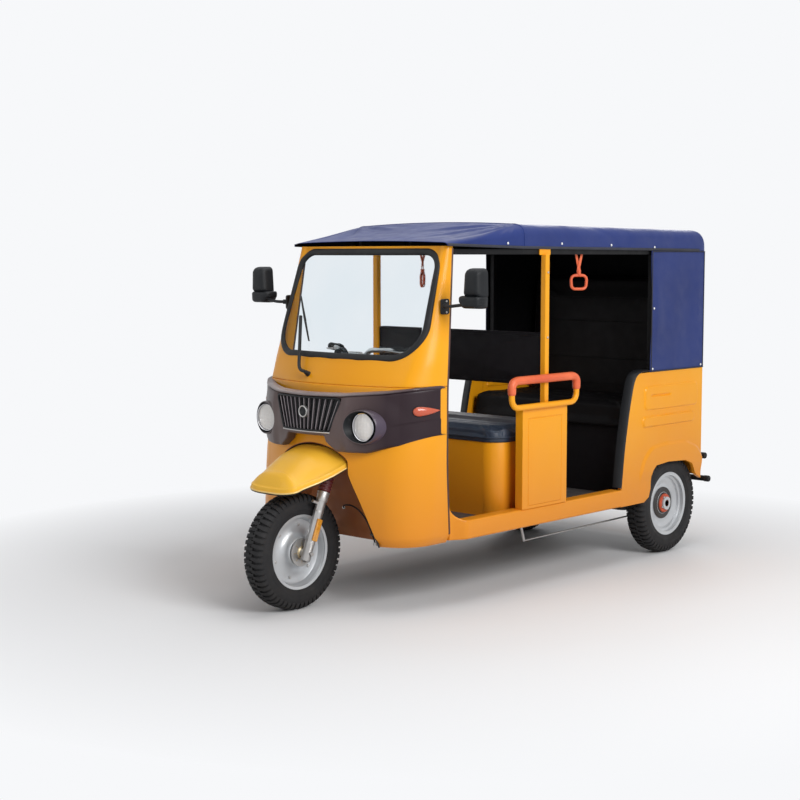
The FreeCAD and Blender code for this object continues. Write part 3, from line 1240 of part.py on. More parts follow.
def cord_tube(points, radius, share=0.45):
    """A round tube along straight runs, each corner an arc as large as its two runs allow."""
    edges = []
    length = 0.0
    start = points[0]
    bends = []
    for before, corner, after in zip(points, points[1:], points[2:]):
        back = before.sub(corner)
        ahead = after.sub(corner)
        reach = share * min(back.Length, ahead.Length)
        turn = math.pi - back.getAngle(ahead)
        bend = reach / math.tan(turn / 2)
        bends.append(round(bend))
        towards = (back.normalize() + ahead.normalize()).normalize()
        middle = corner + towards * (bend / math.cos(turn / 2) - bend)
        arc = (corner + back * reach, middle, corner + ahead * reach)
        edges += [Part.LineSegment(start, arc[0]).toShape(), Part.Arc(*arc).toShape()]
        start = arc[2]
    edges.append(Part.LineSegment(start, points[-1]).toShape())
    path = Part.Wire(edges)
    ring = Part.makeCircle(radius, points[0], points[1].sub(points[0]))
    tube = path.makePipeShell([Part.Wire(ring)], True, False)
    ideal = math.pi * radius * radius * path.Length
    print("cable", round(path.Length), "mm long, bends", bends, "volume ratio", round(tube.Volume / ideal, 4))
    return tube


cable = cord_tube(CABLE_ROUTE, d.cable_radius)
feature("brake_cable", cable)
clip_at = CABLE_ROUTE[0]
clip_foot = clip_at.z - d.clip_height
clip = rod(vec(clip_at.x, clip_at.y, clip_foot), clip_at, d.clip_radius)
tongue = block(clip_at.x - 4, d.rail_x, clip_at.y, d.rail_front_y + 14, clip_foot, clip_at.z)
hanger = block(d.rail_x - 12, d.rail_x, d.rail_front_y + 2, d.rail_front_y + 14, clip_foot, d.sill_bottom_z)
grommet_way = CABLE_ROUTE[-1].sub(CABLE_ROUTE[-2]).normalize()
grommet = rod(CABLE_ROUTE[-1], CABLE_ROUTE[-1] + grommet_way * 30, d.clip_radius)
grommet = grommet.common(block(-200, 200, -1000, d.well_back_y, 300, 500))
feature("cable_clips", Part.makeCompound([clip.fuse([tongue, hanger]).cut(cable), grommet.cut(cable)]))

lever = rod(vec(350, -5, 300), vec(350, 35, 180), 7)
pull = rod(vec(350, 35, 182), vec(d.axle_end_x - 6.3, axle_rear_y - 20, 200), 4)
feature("brake_linkage", lever.fuse(pull))

# Check every object, then write one file for each node

doc.recompute()
for thing in doc.Objects:
    bad = [state for state in thing.State if state in ("Invalid", "Error")]
    if bad:
        raise ValueError(f"{thing.Label}: {bad}")
for thing in NODES:
    if thing.Shape.isNull() or not thing.Shape.isValid() or not thing.Shape.Solids:
        raise ValueError(f"{thing.Label} has no sound solid")
os.makedirs("parts", exist_ok=True)
for thing in NODES:
    thing.Shape.exportStep(f"parts/{thing.Label}.step")
print(len(NODES), "nodes written")
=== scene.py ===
# %% [markdown]
# # A passenger auto rickshaw, dressed around its frame
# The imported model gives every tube, panel and wheel its place. This lesson puts the real surfaces on
# it: pressed steel skins, moulded plastic, rubber, coated cloth and vinyl, each made as one surface
# worked out with arrays.

import bmesh
import bpy
import numpy as np
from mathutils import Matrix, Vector
from mathutils.bvhtree import BVHTree
from numpy import concatenate as join


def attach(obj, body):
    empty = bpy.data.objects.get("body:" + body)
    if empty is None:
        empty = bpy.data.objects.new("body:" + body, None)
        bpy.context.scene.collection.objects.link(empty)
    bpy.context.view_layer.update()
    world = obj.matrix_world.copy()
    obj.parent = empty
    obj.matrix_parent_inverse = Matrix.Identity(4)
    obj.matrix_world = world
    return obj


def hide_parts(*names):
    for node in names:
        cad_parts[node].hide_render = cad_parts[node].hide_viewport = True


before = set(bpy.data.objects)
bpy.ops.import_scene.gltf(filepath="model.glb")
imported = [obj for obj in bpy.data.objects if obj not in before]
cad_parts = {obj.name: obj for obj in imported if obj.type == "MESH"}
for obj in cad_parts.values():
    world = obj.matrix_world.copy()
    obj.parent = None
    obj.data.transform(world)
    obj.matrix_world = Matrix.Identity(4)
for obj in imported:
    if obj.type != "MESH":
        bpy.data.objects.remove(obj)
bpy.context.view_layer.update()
scene = bpy.context.scene


def placed(name, data):
    """A new object in the scene."""
    thing = bpy.data.objects.new(name, data)
    scene.collection.objects.link(thing)
    return thing


# %% [markdown]
# ## The camera
# The photograph was taken from the front left corner, low and from some way back, with a long lens.
# A camera fitted to the wheels and the body's corners gives these numbers. It comes first, because the
# cord's rules look at what it sees.

# %% Camera
CAMERA_AT = Vector((4.8718, -5.7744, 1.5577))
CAMERA_TO = Vector((0.0, -0.4716, 0.8792))
camera = placed("camera", bpy.data.cameras.new("camera"))
camera.data.lens = 68.98
camera.data.sensor_width = 36.0
camera.location = CAMERA_AT
camera.rotation_euler = (CAMERA_TO - CAMERA_AT).to_track_quat("-Z", "Y").to_euler()
scene.camera = camera
scene.view_settings.view_transform = "Standard"

# %% [markdown]
# ## Finishes
# Paint, rubber and cloth differ in three things: how the colour drifts over a hand's breadth, how the
# gloss drifts with it, and what the surface feels like. One recipe covers them: a slow noise mixes two
# tones, the same noise moves the roughness, and a fine noise or a weave pushes the surface in and out.
# Road dust fades in towards the ground, and some finishes take a painted shade that darkens them along
# one axis. All of it reads Object coordinates, so it stays put on a piece.

# %% Colour helper and the common finish
def lin(red, green, blue):
    """A colour on a 0 to 255 scale, turned into light: the share over 12.92 where it is
    dark, and ((share + 0.055) / 1.055) to the power 2.4 elsewhere."""
    share = np.array([red, green, blue]) / 255
    light = np.where(share <= 0.04045, share / 12.92, ((share + 0.055) / 1.055) ** 2.4)
    return (*light.tolist(), 1.0)


def link(tree, output, target):
    tree.links.new(output, target)


def coordinates(tree, scale):
    """Object coordinates through a Mapping node."""
    place = tree.nodes.new("ShaderNodeTexCoord")
    mapping = tree.nodes.new("ShaderNodeMapping")
    mapping.inputs["Scale"].default_value = scale
    link(tree, place.outputs["Object"], mapping.inputs["Vector"])
    return mapping.outputs["Vector"]


def noise(tree, where, scale, detail=3.0):
    node = tree.nodes.new("ShaderNodeTexNoise")
    node.inputs["Scale"].default_value = scale
    node.inputs["Detail"].default_value = detail
    link(tree, where, node.inputs["Vector"])
    return node.outputs["Fac"]


def ranged(tree, value, low, high, start=0.0, end=1.0):
    """A value's range from low to high turned into start to end."""
    node = tree.nodes.new("ShaderNodeMapRange")
    for name, number in (("From Min", low), ("From Max", high), ("To Min", start), ("To Max", end)):
        node.inputs[name].default_value = number
    link(tree, value, node.inputs["Value"])
    return node.outputs["Result"]


def maths(tree, operation, one, other=None):
    """A Math node on one output or two."""
    node = tree.nodes.new("ShaderNodeMath")
    node.operation = operation
    link(tree, one, node.inputs[0])
    if other is not None:
        link(tree, other, node.inputs[1])
    return node.outputs[0]


def mixed(tree, share, one, other):
    """Two colours mixed by a share; each is a colour or another node's output."""
    node = tree.nodes.new("ShaderNodeMix")
    node.data_type = "RGBA"
    link(tree, share, node.inputs["Factor"])
    for socket, value in ((node.inputs[6], one), (node.inputs[7], other)):
        if isinstance(value, tuple):
            socket.default_value = value
        else:
            link(tree, value, socket)
    return node.outputs[2]


# %% The common finish
DUST = lin(128, 118, 106)


def finish(name, colour, tone, rough, metal=0.0, coat=0.0, drift=3.0, grain=900.0, bump=0.05,
           depth=0.0004, dust=0.0, sheen=0.0, clear=0.0, weave=0.0, shine=0.5, painted_shade=None):
    """The common finish. colour and tone are its two tones on a 0 to 255 scale; rough is (low, high);
    painted_shade is (axis, from, to, colour): painted shade, a darker colour that takes over as
    |coordinate| goes from one to the other."""
    colour, tone = lin(*colour), lin(*tone)
    material = bpy.data.materials.new(name)
    material.use_nodes = True
    tree = material.node_tree
    shader = tree.nodes["Principled BSDF"]
    for socket, value in (("Metallic", metal), ("Coat Weight", coat), ("Coat Roughness", 0.06),
                          ("Sheen Weight", sheen), ("Transmission Weight", clear),
                          ("Specular IOR Level", shine)):
        shader.inputs[socket].default_value = value
    where = coordinates(tree, (1, 1, 1))
    slow = noise(tree, where, drift)
    tint = mixed(tree, ranged(tree, slow, 0.3, 0.7), colour, tone)
    parts = tree.nodes.new("ShaderNodeSeparateXYZ")
    link(tree, where, parts.inputs[0])
    # Painted shade: the colour darkens along one axis.
    if painted_shade:
        axis, start, end, other = painted_shade
        far = maths(tree, "ABSOLUTE", parts.outputs[axis])
        tint = mixed(tree, ranged(tree, far, start, end), tint, lin(*other))
    if dust:
        low = ranged(tree, parts.outputs["Z"], 0.02, 0.75, dust, 0.0)
        patchy = ranged(tree, noise(tree, where, 14, 6), 0.35, 0.75, 0.3, 1.0)
        tint = mixed(tree, maths(tree, "MULTIPLY", low, patchy), tint, DUST)
    link(tree, tint, shader.inputs["Base Color"])
    link(tree, ranged(tree, noise(tree, where, drift * 7, 5), 0.3, 0.7, *rough), shader.inputs["Roughness"])
    fine = noise(tree, where, grain, 2)
    if weave:
        wave = tree.nodes.new("ShaderNodeTexWave")
        wave.inputs["Scale"].default_value = weave
        wave.inputs["Distortion"].default_value = 0.6
        wave.bands_direction = "Z"
        link(tree, where, wave.inputs["Vector"])
        fine = wave.outputs["Fac"]
    push = tree.nodes.new("ShaderNodeBump")
    push.inputs["Strength"].default_value = bump
    push.inputs["Distance"].default_value = depth
    link(tree, fine, push.inputs["Height"])
    link(tree, push.outputs["Normal"], shader.inputs["Normal"])
    return material


# %% [markdown]
# ### Paint, metal, plastic, rubber, cloth
# The yellow is an enamel with a clear gloss. Low down it turns a deeper orange, which is painted shade.
# Bright steel keeps a little milk in its gloss, because a plated fork is never a mirror.
# The roof is coated cloth, so it shines along its folds like oilskin and has a fine weave under it.

# %% All finishes
# The Z fade is painted shade: from 0.80 m down towards the ground the yellow darkens to a deeper orange.
YELLOW = finish("yellow_enamel", (247, 170, 22), (240, 158, 18), (0.34, 0.46), coat=0.08, shine=0.3,
                drift=1.4, grain=260, bump=0.03, depth=0.0006, dust=0.04,
                painted_shade=("Z", 0.80, 0.28, (224, 138, 30)))
# The mudguard takes a lighter, yellower copy of the body's enamel: painted highlight on its top, which faces
# the light.
GUARD_PAINTED_HIGHLIGHT = finish("mudguard_enamel_painted_highlight", (251, 196, 60), (246, 184, 50), (0.34, 0.46), coat=0.12, shine=0.3,
                      drift=2.0, grain=260, bump=0.03, depth=0.0006, dust=0.04)
# The pale cream of the hem bead is a painted highlight along the mudguard's rolled edge.
EDGE = finish("hem_painted_highlight", (250, 216, 132), (238, 196, 106), (0.3, 0.4), coat=0.3)
# The well's dark brown-orange is painted shade inside the arch; its dust is real road dust.
WELL_PAINTED_SHADE = finish("well_painted_shade", (176, 98, 28), (130, 68, 24), (0.5, 0.7), dust=0.4, drift=4, grain=300, bump=0.2)
BLACK_PAINT = finish("frame_enamel", (15, 15, 17), (10, 10, 12), (0.45, 0.6), shine=0.2, dust=0.05)
ROOF_BLACK = finish("roof_lining", (12, 12, 15), (8, 8, 10), (0.75, 0.9), bump=0.3, weave=600, depth=0.0002,
                    shine=0.1)
FORK_RED = finish("fork_red", (104, 26, 30), (78, 20, 25), (0.4, 0.55), coat=0.2, dust=0.1)
SILVER = finish("wheel_silver", (206, 208, 210), (186, 189, 192), (0.3, 0.42), metal=0.6, drift=6, dust=0.1)
STEEL = finish("bright_steel", (196, 194, 192), (172, 170, 168), (0.28, 0.42), metal=0.85, drift=8, dust=0.1)
CHROME = finish("chrome", (214, 214, 216), (200, 200, 204), (0.1, 0.18), metal=1.0)
SLAT = finish("slat_metal", (150, 142, 144), (126, 118, 122), (0.3, 0.42), metal=0.7, drift=9)
BRONZE = finish("brake_plate", (176, 160, 128), (140, 122, 90), (0.35, 0.5), metal=0.8, drift=12, dust=0.15)
CAST = finish("cast_metal", (66, 66, 70), (48, 46, 46), (0.5, 0.7), metal=0.6, drift=9, bump=0.4,
              grain=240, dust=0.4)
HUB_RED = finish("hub_red", (206, 84, 42), (172, 62, 32), (0.45, 0.6), coat=0.1, drift=14)
TYRE = finish("tyre_rubber", (40, 40, 42), (31, 31, 33), (0.62, 0.8), bump=0.25, grain=420, dust=0.06,
              shine=0.25)
RUBBER = finish("black_rubber", (26, 27, 28), (19, 19, 21), (0.5, 0.65), bump=0.1, grain=500, shine=0.3)
BROWN = finish("door_trim", (84, 48, 36), (60, 36, 30), (0.45, 0.6), bump=0.1)
# The X fades on the mask, the pods and the ledge are painted shade: each darkens towards its outboard ends.
MASK = finish("mask_plastic", (104, 90, 86), (90, 74, 74), (0.36, 0.5), coat=0.1, drift=1.6, shine=0.3,
              bump=0.08, grain=700, painted_shade=("X", 0.20, 0.38, (32, 12, 22)))
POD = finish("pod_plastic", (84, 72, 74), (70, 60, 62), (0.36, 0.5), coat=0.2, drift=3, bump=0.08,
             grain=700, painted_shade=("X", 0.29, 0.40, (62, 48, 70)))
GREY_LEDGE = finish("ledge_grey", (150, 138, 136), (132, 120, 120), (0.4, 0.52), coat=0.15,
                    painted_shade=("X", 0.20, 0.46, (50, 28, 36)))
PLASTIC = finish("black_plastic", (26, 28, 31), (19, 21, 24), (0.42, 0.56), bump=0.25, grain=600,
                 depth=0.0003, shine=0.25)
DASH = finish("dash_plastic", (32, 34, 37), (24, 26, 29), (0.6, 0.75), bump=0.3, grain=500)
AMBER = finish("amber_lens", (206, 92, 58), (180, 66, 40), (0.16, 0.26), coat=0.5)
REFLECTOR = finish("amber_reflector", (222, 158, 56), (204, 130, 38), (0.2, 0.3), coat=0.8, drift=90)
RED_LENS = finish("red_lens", (170, 22, 26), (140, 14, 18), (0.1, 0.2), coat=0.8, drift=60)
SEAT = finish("seat_vinyl", (44, 56, 74), (32, 42, 57), (0.5, 0.62), bump=0.35, grain=340, depth=0.0006)
SEAT_GREY = finish("grey_vinyl", (80, 80, 86), (64, 64, 70), (0.5, 0.62), bump=0.35, grain=340, depth=0.0006)
# Black vinyl; its near-black is partly painted shade for the shaded inside of the cab.
BENCH = finish("bench_vinyl", (13, 11, 13), (9, 8, 9), (0.5, 0.65), bump=0.35, grain=340, depth=0.0006,
               shine=0.15)
CORAL = finish("coral_vinyl", (232, 112, 66), (214, 90, 50), (0.4, 0.54), bump=0.3, grain=380,
               depth=0.0005, drift=9)
CLOTH = finish("roof_cloth", (28, 48, 112), (20, 39, 98), (0.42, 0.56), sheen=0.05, shine=0.3,
               bump=0.12, depth=0.0003, weave=420, drift=2.4)
BINDING = finish("hem_binding", (38, 40, 54), (26, 27, 36), (0.6, 0.75), weave=700, bump=0.3)
# Black cloth; its near-black is partly painted shade for the shaded inside of the cab.
BOARD = finish("covered_board", (17, 14, 18), (12, 10, 13), (0.6, 0.75), bump=0.2, grain=500, shine=0.15)
MAT = finish("floor_mat", (62, 60, 60), (46, 44, 46), (0.65, 0.8), bump=0.5, grain=200, dust=0.3)
SNAP = finish("snap_white", (232, 232, 230), (214, 214, 214), (0.25, 0.35), metal=0.3)
MIRROR = finish("mirror_glass", (226, 230, 232), (222, 226, 230), (0.02, 0.04), metal=1.0)
LENS = finish("lamp_glass", (255, 252, 248), (252, 248, 244), (0.06, 0.12), clear=0.12, coat=0.5, drift=60)
GLASS = finish("windscreen_glass", (238, 243, 246), (232, 240, 244), (0.0, 0.02), clear=1.0)
GLASS.node_tree.nodes["Principled BSDF"].inputs["IOR"].default_value = 1.1
LENS.node_tree.nodes["Principled BSDF"].inputs["IOR"].default_value = 1.3
print("finishes:", len(bpy.data.materials))

# %% [markdown]
# ## From arrays to pieces
# Every piece is a grid of points, or a few of them, worked out as whole arrays. Small helpers turn them
# into meshes: one numbers a grid's faces, one repeats a block, one mirrors a patch, one puts patches
# together into an object that rides on a body, and one puts a finish on a node of the frame as it is.

# %% Grids, blocks, pieces
def grid(points, wrap_rows=False, wrap_columns=False, material=0):
    """Faces of a grid: each joins a point, its neighbour along the row, and the two in the next row."""
    rows, columns = points.shape[:2]
    row = np.arange(rows if wrap_rows else rows - 1)[:, None]
    column = np.arange(columns if wrap_columns else columns - 1)[None, :]
    row_after = (row + 1) % rows
    column_after = (column + 1) % columns
    faces = np.stack([row * columns + column, row * columns + column_after,
                      row_after * columns + column_after, row_after * columns + column], -1)
    return points.reshape(-1, 3), faces.reshape(-1, 4), material


def blocks(points, material=0):
    """Closed blocks from an array (block, row, 4, 3): rings of four corners, with flat ends."""
    count, rows = points.shape[:2]
    start, faces, _ = grid(points[0], wrap_columns=True)
    ends = np.array([[3, 2, 1, 0], np.arange(4) + 4 * (rows - 1)])
    faces = join([faces, ends])
    faces = faces[None] + np.arange(count)[:, None, None] * rows * 4
    return points.reshape(-1, 3), faces.reshape(-1, 4), material


def mirrored(patch):
    """The patch's image in the centre plane, with its faces turned to keep pointing outwards."""
    points, faces, material = patch
    return points * [-1, 1, 1], faces[:, ::-1], material


def both(*patches):
    return [*patches, *[mirrored(patch) for patch in patches]]


def piece(name, patches, finishes, body="root", replaces=(), away=None, sharp=40.0):
    """One object from patches. Doubles are merged. Closed shells get their normals worked out; an
    open sheet is turned so that its faces look away from the given point."""
    finishes = finishes if isinstance(finishes, (list, tuple)) else [finishes]
    counts = np.cumsum([0] + [len(patch[0]) for patch in patches])
    points = join([patch[0] for patch in patches])
    faces = join([patch[1] + start for patch, start in zip(patches, counts)])
    index = join([np.full(len(patch[1]), patch[2]) for patch in patches])
    mesh = bpy.data.meshes.new(name)
    mesh.from_pydata(points.tolist(), [], faces.tolist())
    for material in finishes:
        mesh.materials.append(material)
    mesh.polygons.foreach_set("material_index", index.astype(np.int32))
    work = bmesh.new()
    work.from_mesh(mesh)
    bmesh.ops.remove_doubles(work, verts=work.verts, dist=2e-5)
    bmesh.ops.dissolve_degenerate(work, dist=1e-6, edges=work.edges)
    if away is None:
        bmesh.ops.recalc_face_normals(work, faces=work.faces)
    else:
        lean = sum(face.normal.dot(face.calc_center_median() - Vector(away)) * face.calc_area()
                   for face in work.faces)
        if lean < 0:
            bmesh.ops.reverse_faces(work, faces=work.faces)
    work.to_mesh(mesh)
    work.free()
    mesh.shade_smooth()
    mesh.set_sharp_from_angle(angle=np.radians(sharp))
    thing = placed(name, mesh)
    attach(thing, body)
    if replaces:
        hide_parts(*replaces)
    return thing


def thicken(thing, thickness, inner=0):
    """A wall behind the surface, with its inner side in a later finish."""
    wall = thing.modifiers.new("wall", "SOLIDIFY")
    wall.thickness = thickness
    wall.offset = -1.0
    wall.material_offset = inner
    return thing


def bevel(thing, width, angle=45.0, segments=2):
    edge = thing.modifiers.new("edge", "BEVEL")
    edge.width = width
    edge.segments = segments
    edge.limit_method = "ANGLE"
    edge.angle_limit = np.radians(angle)
    return thing


def keep_node(name, material, edge=0.0):
    """A node of the frame whose shape is right: it stays and gets its finish."""
    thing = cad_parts[name]
    thing.data.materials.clear()
    thing.data.materials.append(material)
    if edge:
        weld = thing.modifiers.new("weld", "WELD")
        weld.merge_threshold = 1e-5
        bevel(thing, edge, 40)


# %% Tubes, turned pieces, slabs
def unit(vectors):
    return vectors / np.linalg.norm(vectors, axis=-1, keepdims=True)


def xyz(x, y, z):
    """Points from their three coordinates, each an array or one number."""
    return np.stack(np.broadcast_arrays(x, y, z), -1)


def run_along(path):
    """The length run up to each point of a path."""
    return join([[0], np.cumsum(np.linalg.norm(np.diff(path, axis=0), axis=1))])


def at_lengths(path, run, s):
    """The path's points at the lengths s, where run holds the length at each of its points."""
    return np.stack([np.interp(s, run, column) for column in path.T], -1)


def rounded_path(corners, bend, steps=7):
    """Straight runs with each corner replaced by a curve: the corner C between reach points A and B
    gives (1-s)^2 A + 2s(1-s) C + s^2 B."""
    corners = np.array(corners, float)
    s = np.linspace(0, 1, steps)[:, None]
    path = [corners[:1]]
    for before, corner, after in zip(corners, corners[1:], corners[2:]):
        back, ahead = before - corner, after - corner
        start = corner + back * min(0.5, bend / np.linalg.norm(back))
        end = corner + ahead * min(0.5, bend / np.linalg.norm(ahead))
        path.append((1 - s) ** 2 * start + 2 * s * (1 - s) * corner + s ** 2 * end)
    path.append(corners[-1:])
    return join(path)


def tube(path, radius, plane, sides=12, closed=False, material=0):
    """A round tube: each ring is path + r(cos a * n + sin a * b), where b is the given plane's normal
    made square to the path, and n is square to both. The ends close on their middles."""
    path = np.array(path, float)
    ahead = np.roll(path, -1, 0) - np.roll(path, 1, 0) if closed else np.gradient(path, axis=0)
    ahead = unit(ahead)
    plane = np.array(plane, float)
    b = unit(plane - (ahead @ plane)[:, None] * ahead)
    n = np.cross(b, ahead)
    angle = np.linspace(0, 2 * np.pi, sides, endpoint=False)[None, :, None]
    size = np.broadcast_to(np.asarray(radius, float), (len(path),))[:, None, None]
    rings = path[:, None] + size * (np.cos(angle) * n[:, None] + np.sin(angle) * b[:, None])
    if not closed:
        rings = join([np.repeat(path[None, :1], sides, 1), rings,
                      np.repeat(path[None, -1:], sides, 1)])
    return grid(rings, wrap_rows=closed, wrap_columns=True, material=material)


def turned(profile, centre, axis=(1, 0, 0), steps=48, closed=False, material=0):
    """A profile of (along, radius) pairs turned about an axis: centre + along * axis + radius * spoke."""
    profile = np.array(profile, float)
    axis = unit(np.array(axis, float))
    spoke = unit(np.cross(axis, (0.31, 0.57, 0.76) if abs(axis[0]) > 0.5 else (1.0, 0.2, 0.1)))
    other = np.cross(axis, spoke)
    angle = np.linspace(0, 2 * np.pi, steps, endpoint=False)[None, :, None]
    rings = (np.array(centre, float) + profile[:, :1, None] * axis
             + profile[:, 1:, None] * (np.cos(angle) * spoke + np.sin(angle) * other))
    return grid(rings, wrap_rows=closed, wrap_columns=True, material=material)


# %% Outlines and slabs
def rounded_outline(corners, steps=6):
    """A closed flat outline through ((a, b), radius) corners with tangent arcs, run anticlockwise."""
    spots = np.array([corner[0] for corner in corners], float)
    outline = []
    for i, (corner, radius) in enumerate(corners):
        corner = np.array(corner, float)
        back = unit(spots[i - 1] - corner)
        ahead = unit(spots[(i + 1) % len(corners)] - corner)
        opening = np.arccos(np.clip(back @ ahead, -1, 1))
        centre = corner + unit(back + ahead) * radius / np.sin(opening / 2)
        start = corner + back * radius / np.tan(opening / 2) - centre
        end = corner + ahead * radius / np.tan(opening / 2) - centre
        low = np.arctan2(start[1], start[0])
        turn = (np.arctan2(end[1], end[0]) - low + np.pi) % (2 * np.pi) - np.pi
        angle = low + turn * np.linspace(0, 1, steps)
        outline.append(centre + radius * np.stack([np.cos(angle), np.sin(angle)], -1))
    return join(outline)


def four_corners(foot, top, corner_foot, corner_top, steps=6):
    """A symmetric outline from (half width, height) at its foot and its top, with a radius for each."""
    return rounded_outline([(foot, corner_foot), (top, corner_top), ((-top[0], top[1]), corner_top),
                            ((-foot[0], foot[1]), corner_foot)], steps)


def denser(loop):
    """A closed loop with three points more on each of its sides."""
    return join([np.linspace(one, other, 5)[:-1] for one, other in zip(loop, np.roll(loop, -1, 0))])


def by_length(outline, count):
    """A closed outline's points at equal steps of length."""
    loop = join([outline, outline[:1]])
    run = run_along(loop)
    return at_lengths(loop, run, np.linspace(0, run[-1], count, endpoint=False))


def slab(outline, rows, place):
    """A flat outline carried along rows of (inset, depth): each point moves in along the outline's own
    normal by the inset. place turns (a, b, depth) arrays into x, y, z. The ends close on their middles."""
    tangent = unit(np.roll(outline, -1, 0) - np.roll(outline, 1, 0))
    normal = np.stack([tangent[:, 1], -tangent[:, 0]], -1)
    rows = np.array(rows, float)
    ring = outline[None] - rows[:, :1, None] * normal[None]
    depth = np.broadcast_to(rows[:, 1:2], ring.shape[:2])
    middle = outline.mean(0)
    for end in (0, -1):
        cap = np.broadcast_to(middle, ring.shape[1:])[None]
        flat = depth[end][None]
        ring = join([cap, ring] if end == 0 else [ring, cap])
        depth = join([flat, depth] if end == 0 else [depth, flat])
    return grid(np.stack(place(ring[..., 0], ring[..., 1], depth), -1), wrap_columns=True)


def smooth_step(value, low, high):
    """0 below low, 1 above high, and 3s^2 - 2s^3 between."""
    s = np.clip((value - low) / (high - low), 0, 1)
    return s * s * (3 - 2 * s)


# %% [markdown]
# ## The cab's skin
# The nose is one pressing that runs from door to door. Seen from above, each level is a bowed front, a
# tighter corner and a short straight side. A table holds those numbers at five levels. Between them the
# skin is the straight mix of the two nearest levels, softened where the press left a round bend.

# %% The skin as a function of two numbers
LEVELS = np.array([0.290, 0.620, 0.975, 1.085, 1.600])
SKIN = np.array([  # half width, side y, corner x, corner y, centre y, door edge y
    (0.500, -0.800, 0.350, -0.985, -1.030, -0.690),
    (0.500, -0.762, 0.345, -0.985, -1.064, -0.708),
    (0.500, -0.748, 0.420, -0.903, -1.000, -0.706),
    (0.500, -0.738, 0.420, -0.862, -0.928, -0.700),
    (0.466, -0.645, 0.420, -0.668, -0.680, -0.636),
])


def skin_numbers(z, inset):
    """The table's six numbers at each level: a running mean over 120 mm low down and 30 mm up high."""
    reach = 0.015 + 0.045 * (1 - smooth_step(z, 0.70, 0.95))
    shifts = np.linspace(-1, 1, 9)
    levels = z[..., None] + reach[..., None] * shifts
    numbers = [np.interp(levels, LEVELS, column).mean(-1) for column in SKIN.T]
    half, side_y, corner_x, corner_y, centre_y, door_y = numbers
    return (half - inset, side_y, corner_x - 0.6 * inset, corner_y + 0.8 * inset, centre_y + inset, door_y)


def cab(t, z, inset=0.0):
    """The skin at t across (-1 to 1 from door to door) and level z. |t| under 0.5 is the front arc
    y = centre + R - sqrt(R^2 - x^2); up to 0.85 the corner arc; beyond it the straight side."""
    t, z, inset = np.broadcast_arrays(np.asarray(t, float), np.asarray(z, float), np.asarray(inset, float))
    half, side_y, corner_x, corner_y, centre_y, door_y = skin_numbers(z, inset)
    a = np.abs(t)
    sag = corner_y - centre_y
    big = (corner_x ** 2 + sag ** 2) / (2 * sag)
    x_front = corner_x * np.minimum(a, 0.5) / 0.5
    y_front = centre_y + big - np.sqrt(big ** 2 - x_front ** 2)
    run, fall = half - corner_x, side_y - corner_y
    small = (run ** 2 + fall ** 2) / (2 * run)
    angle = np.arctan2(fall, small - run) * (1 - np.clip((a - 0.5) / 0.35, 0, 1))
    x_corner = half - small + small * np.cos(angle)
    y_corner = side_y - small * np.sin(angle)
    y_side = side_y + (door_y - side_y) * np.clip((a - 0.85) / 0.15, 0, 1)
    x = np.where(a < 0.5, x_front, np.where(a < 0.85, x_corner, half))
    y = np.where(a < 0.5, y_front, np.where(a < 0.85, y_corner, y_side))
    return xyz(np.sign(t) * x, y, z)


def across(x, z):
    """The t that puts the skin at x on a level: the inverse of the front arc and the corner arc."""
    half, side_y, corner_x, corner_y, centre_y, door_y = skin_numbers(np.asarray(z, float), 0.0)
    a = np.abs(x)
    run, fall = half - corner_x, side_y - corner_y
    small = (run ** 2 + fall ** 2) / (2 * run)
    angle = np.arccos(np.clip((a - half + small) / small, -1, 1)) / np.arctan2(fall, small - run)
    return np.sign(x) * np.where(a <= corner_x, 0.5 * a / corner_x, 0.5 + 0.35 * (1 - np.clip(angle, 0, 1)))


# %% [markdown]
# ### The glass outline
# The windscreen's hole has large round corners at its foot and smaller ones at its top. The skin around
# it is a ring of quads from the hole out to a rectangle, so no cut is needed and the edge is smooth.
# Under that ring the lower pressing steps in behind the upper one, which leaves a fine dark seam.

# %% Windscreen outline
GLASS_FOOT, GLASS_TOP = 1.120, 1.566


def screen_outline(grow, steps):
    """The glass outline seen from the front, larger by a margin, from the lower right corner round."""
    foot, top = (0.445 + grow, GLASS_FOOT - grow), (0.420 + grow, GLASS_TOP + grow)
    return four_corners(foot, top, 0.125 + grow, 0.075 + grow, steps)


# %% The cab's patches
# Columns: even steps over the arch's crown, fine ones where its side drops, then out to the door.
T = join([np.linspace(0, 0.2802, 20)[:-1], np.linspace(0.2802, 0.300, 8)[:-1],
          np.linspace(0.300, 0.4957, 18)[:-1], np.linspace(0.4957, 0.85, 26)[:-1],
          np.linspace(0.85, 1, 7)])
T = join([-T[:0:-1], T])
x_across = 0.348 * np.abs(T) / 0.5
CROWN_HALF, CROWN_RISE, CROWN_Z = 0.195, 0.064, 0.728
crown_radius = (CROWN_HALF ** 2 + CROWN_RISE ** 2) / (2 * CROWN_RISE)
arch_crown = CROWN_Z - crown_radius + np.sqrt(np.maximum(crown_radius ** 2 - x_across ** 2, 0))
arch_side = np.interp(x_across, [0.195, 0.200, 0.2035, 0.206, 0.2085, 0.345],
                      [0.664, 0.652, 0.634, 0.614, 0.600, 0.290])
FOOT = np.where(x_across < CROWN_HALF, arch_crown, arch_side)
SEAM_Z = 0.988
share = np.linspace(0, 1, 44)[:, None]
low_z = FOOT + (0.940 - FOOT) * share
fold = 0.024 * (1 - smooth_step(low_z, 0.285, 0.335)) ** 1.5 * (x_across > 0.335)
lower = grid(cab(T, low_z, fold))
seam_rows = SEAM_Z + np.array([-0.048, -0.030, -0.014, -0.005, -0.0015, 0.0005, 0.002, 0.020])
seam_in = np.array([0, 0, 0, 0, 0, 0.006, 0.0135, 0.0135])
middle = grid(cab(T, seam_rows[:, None], seam_in[:, None]))


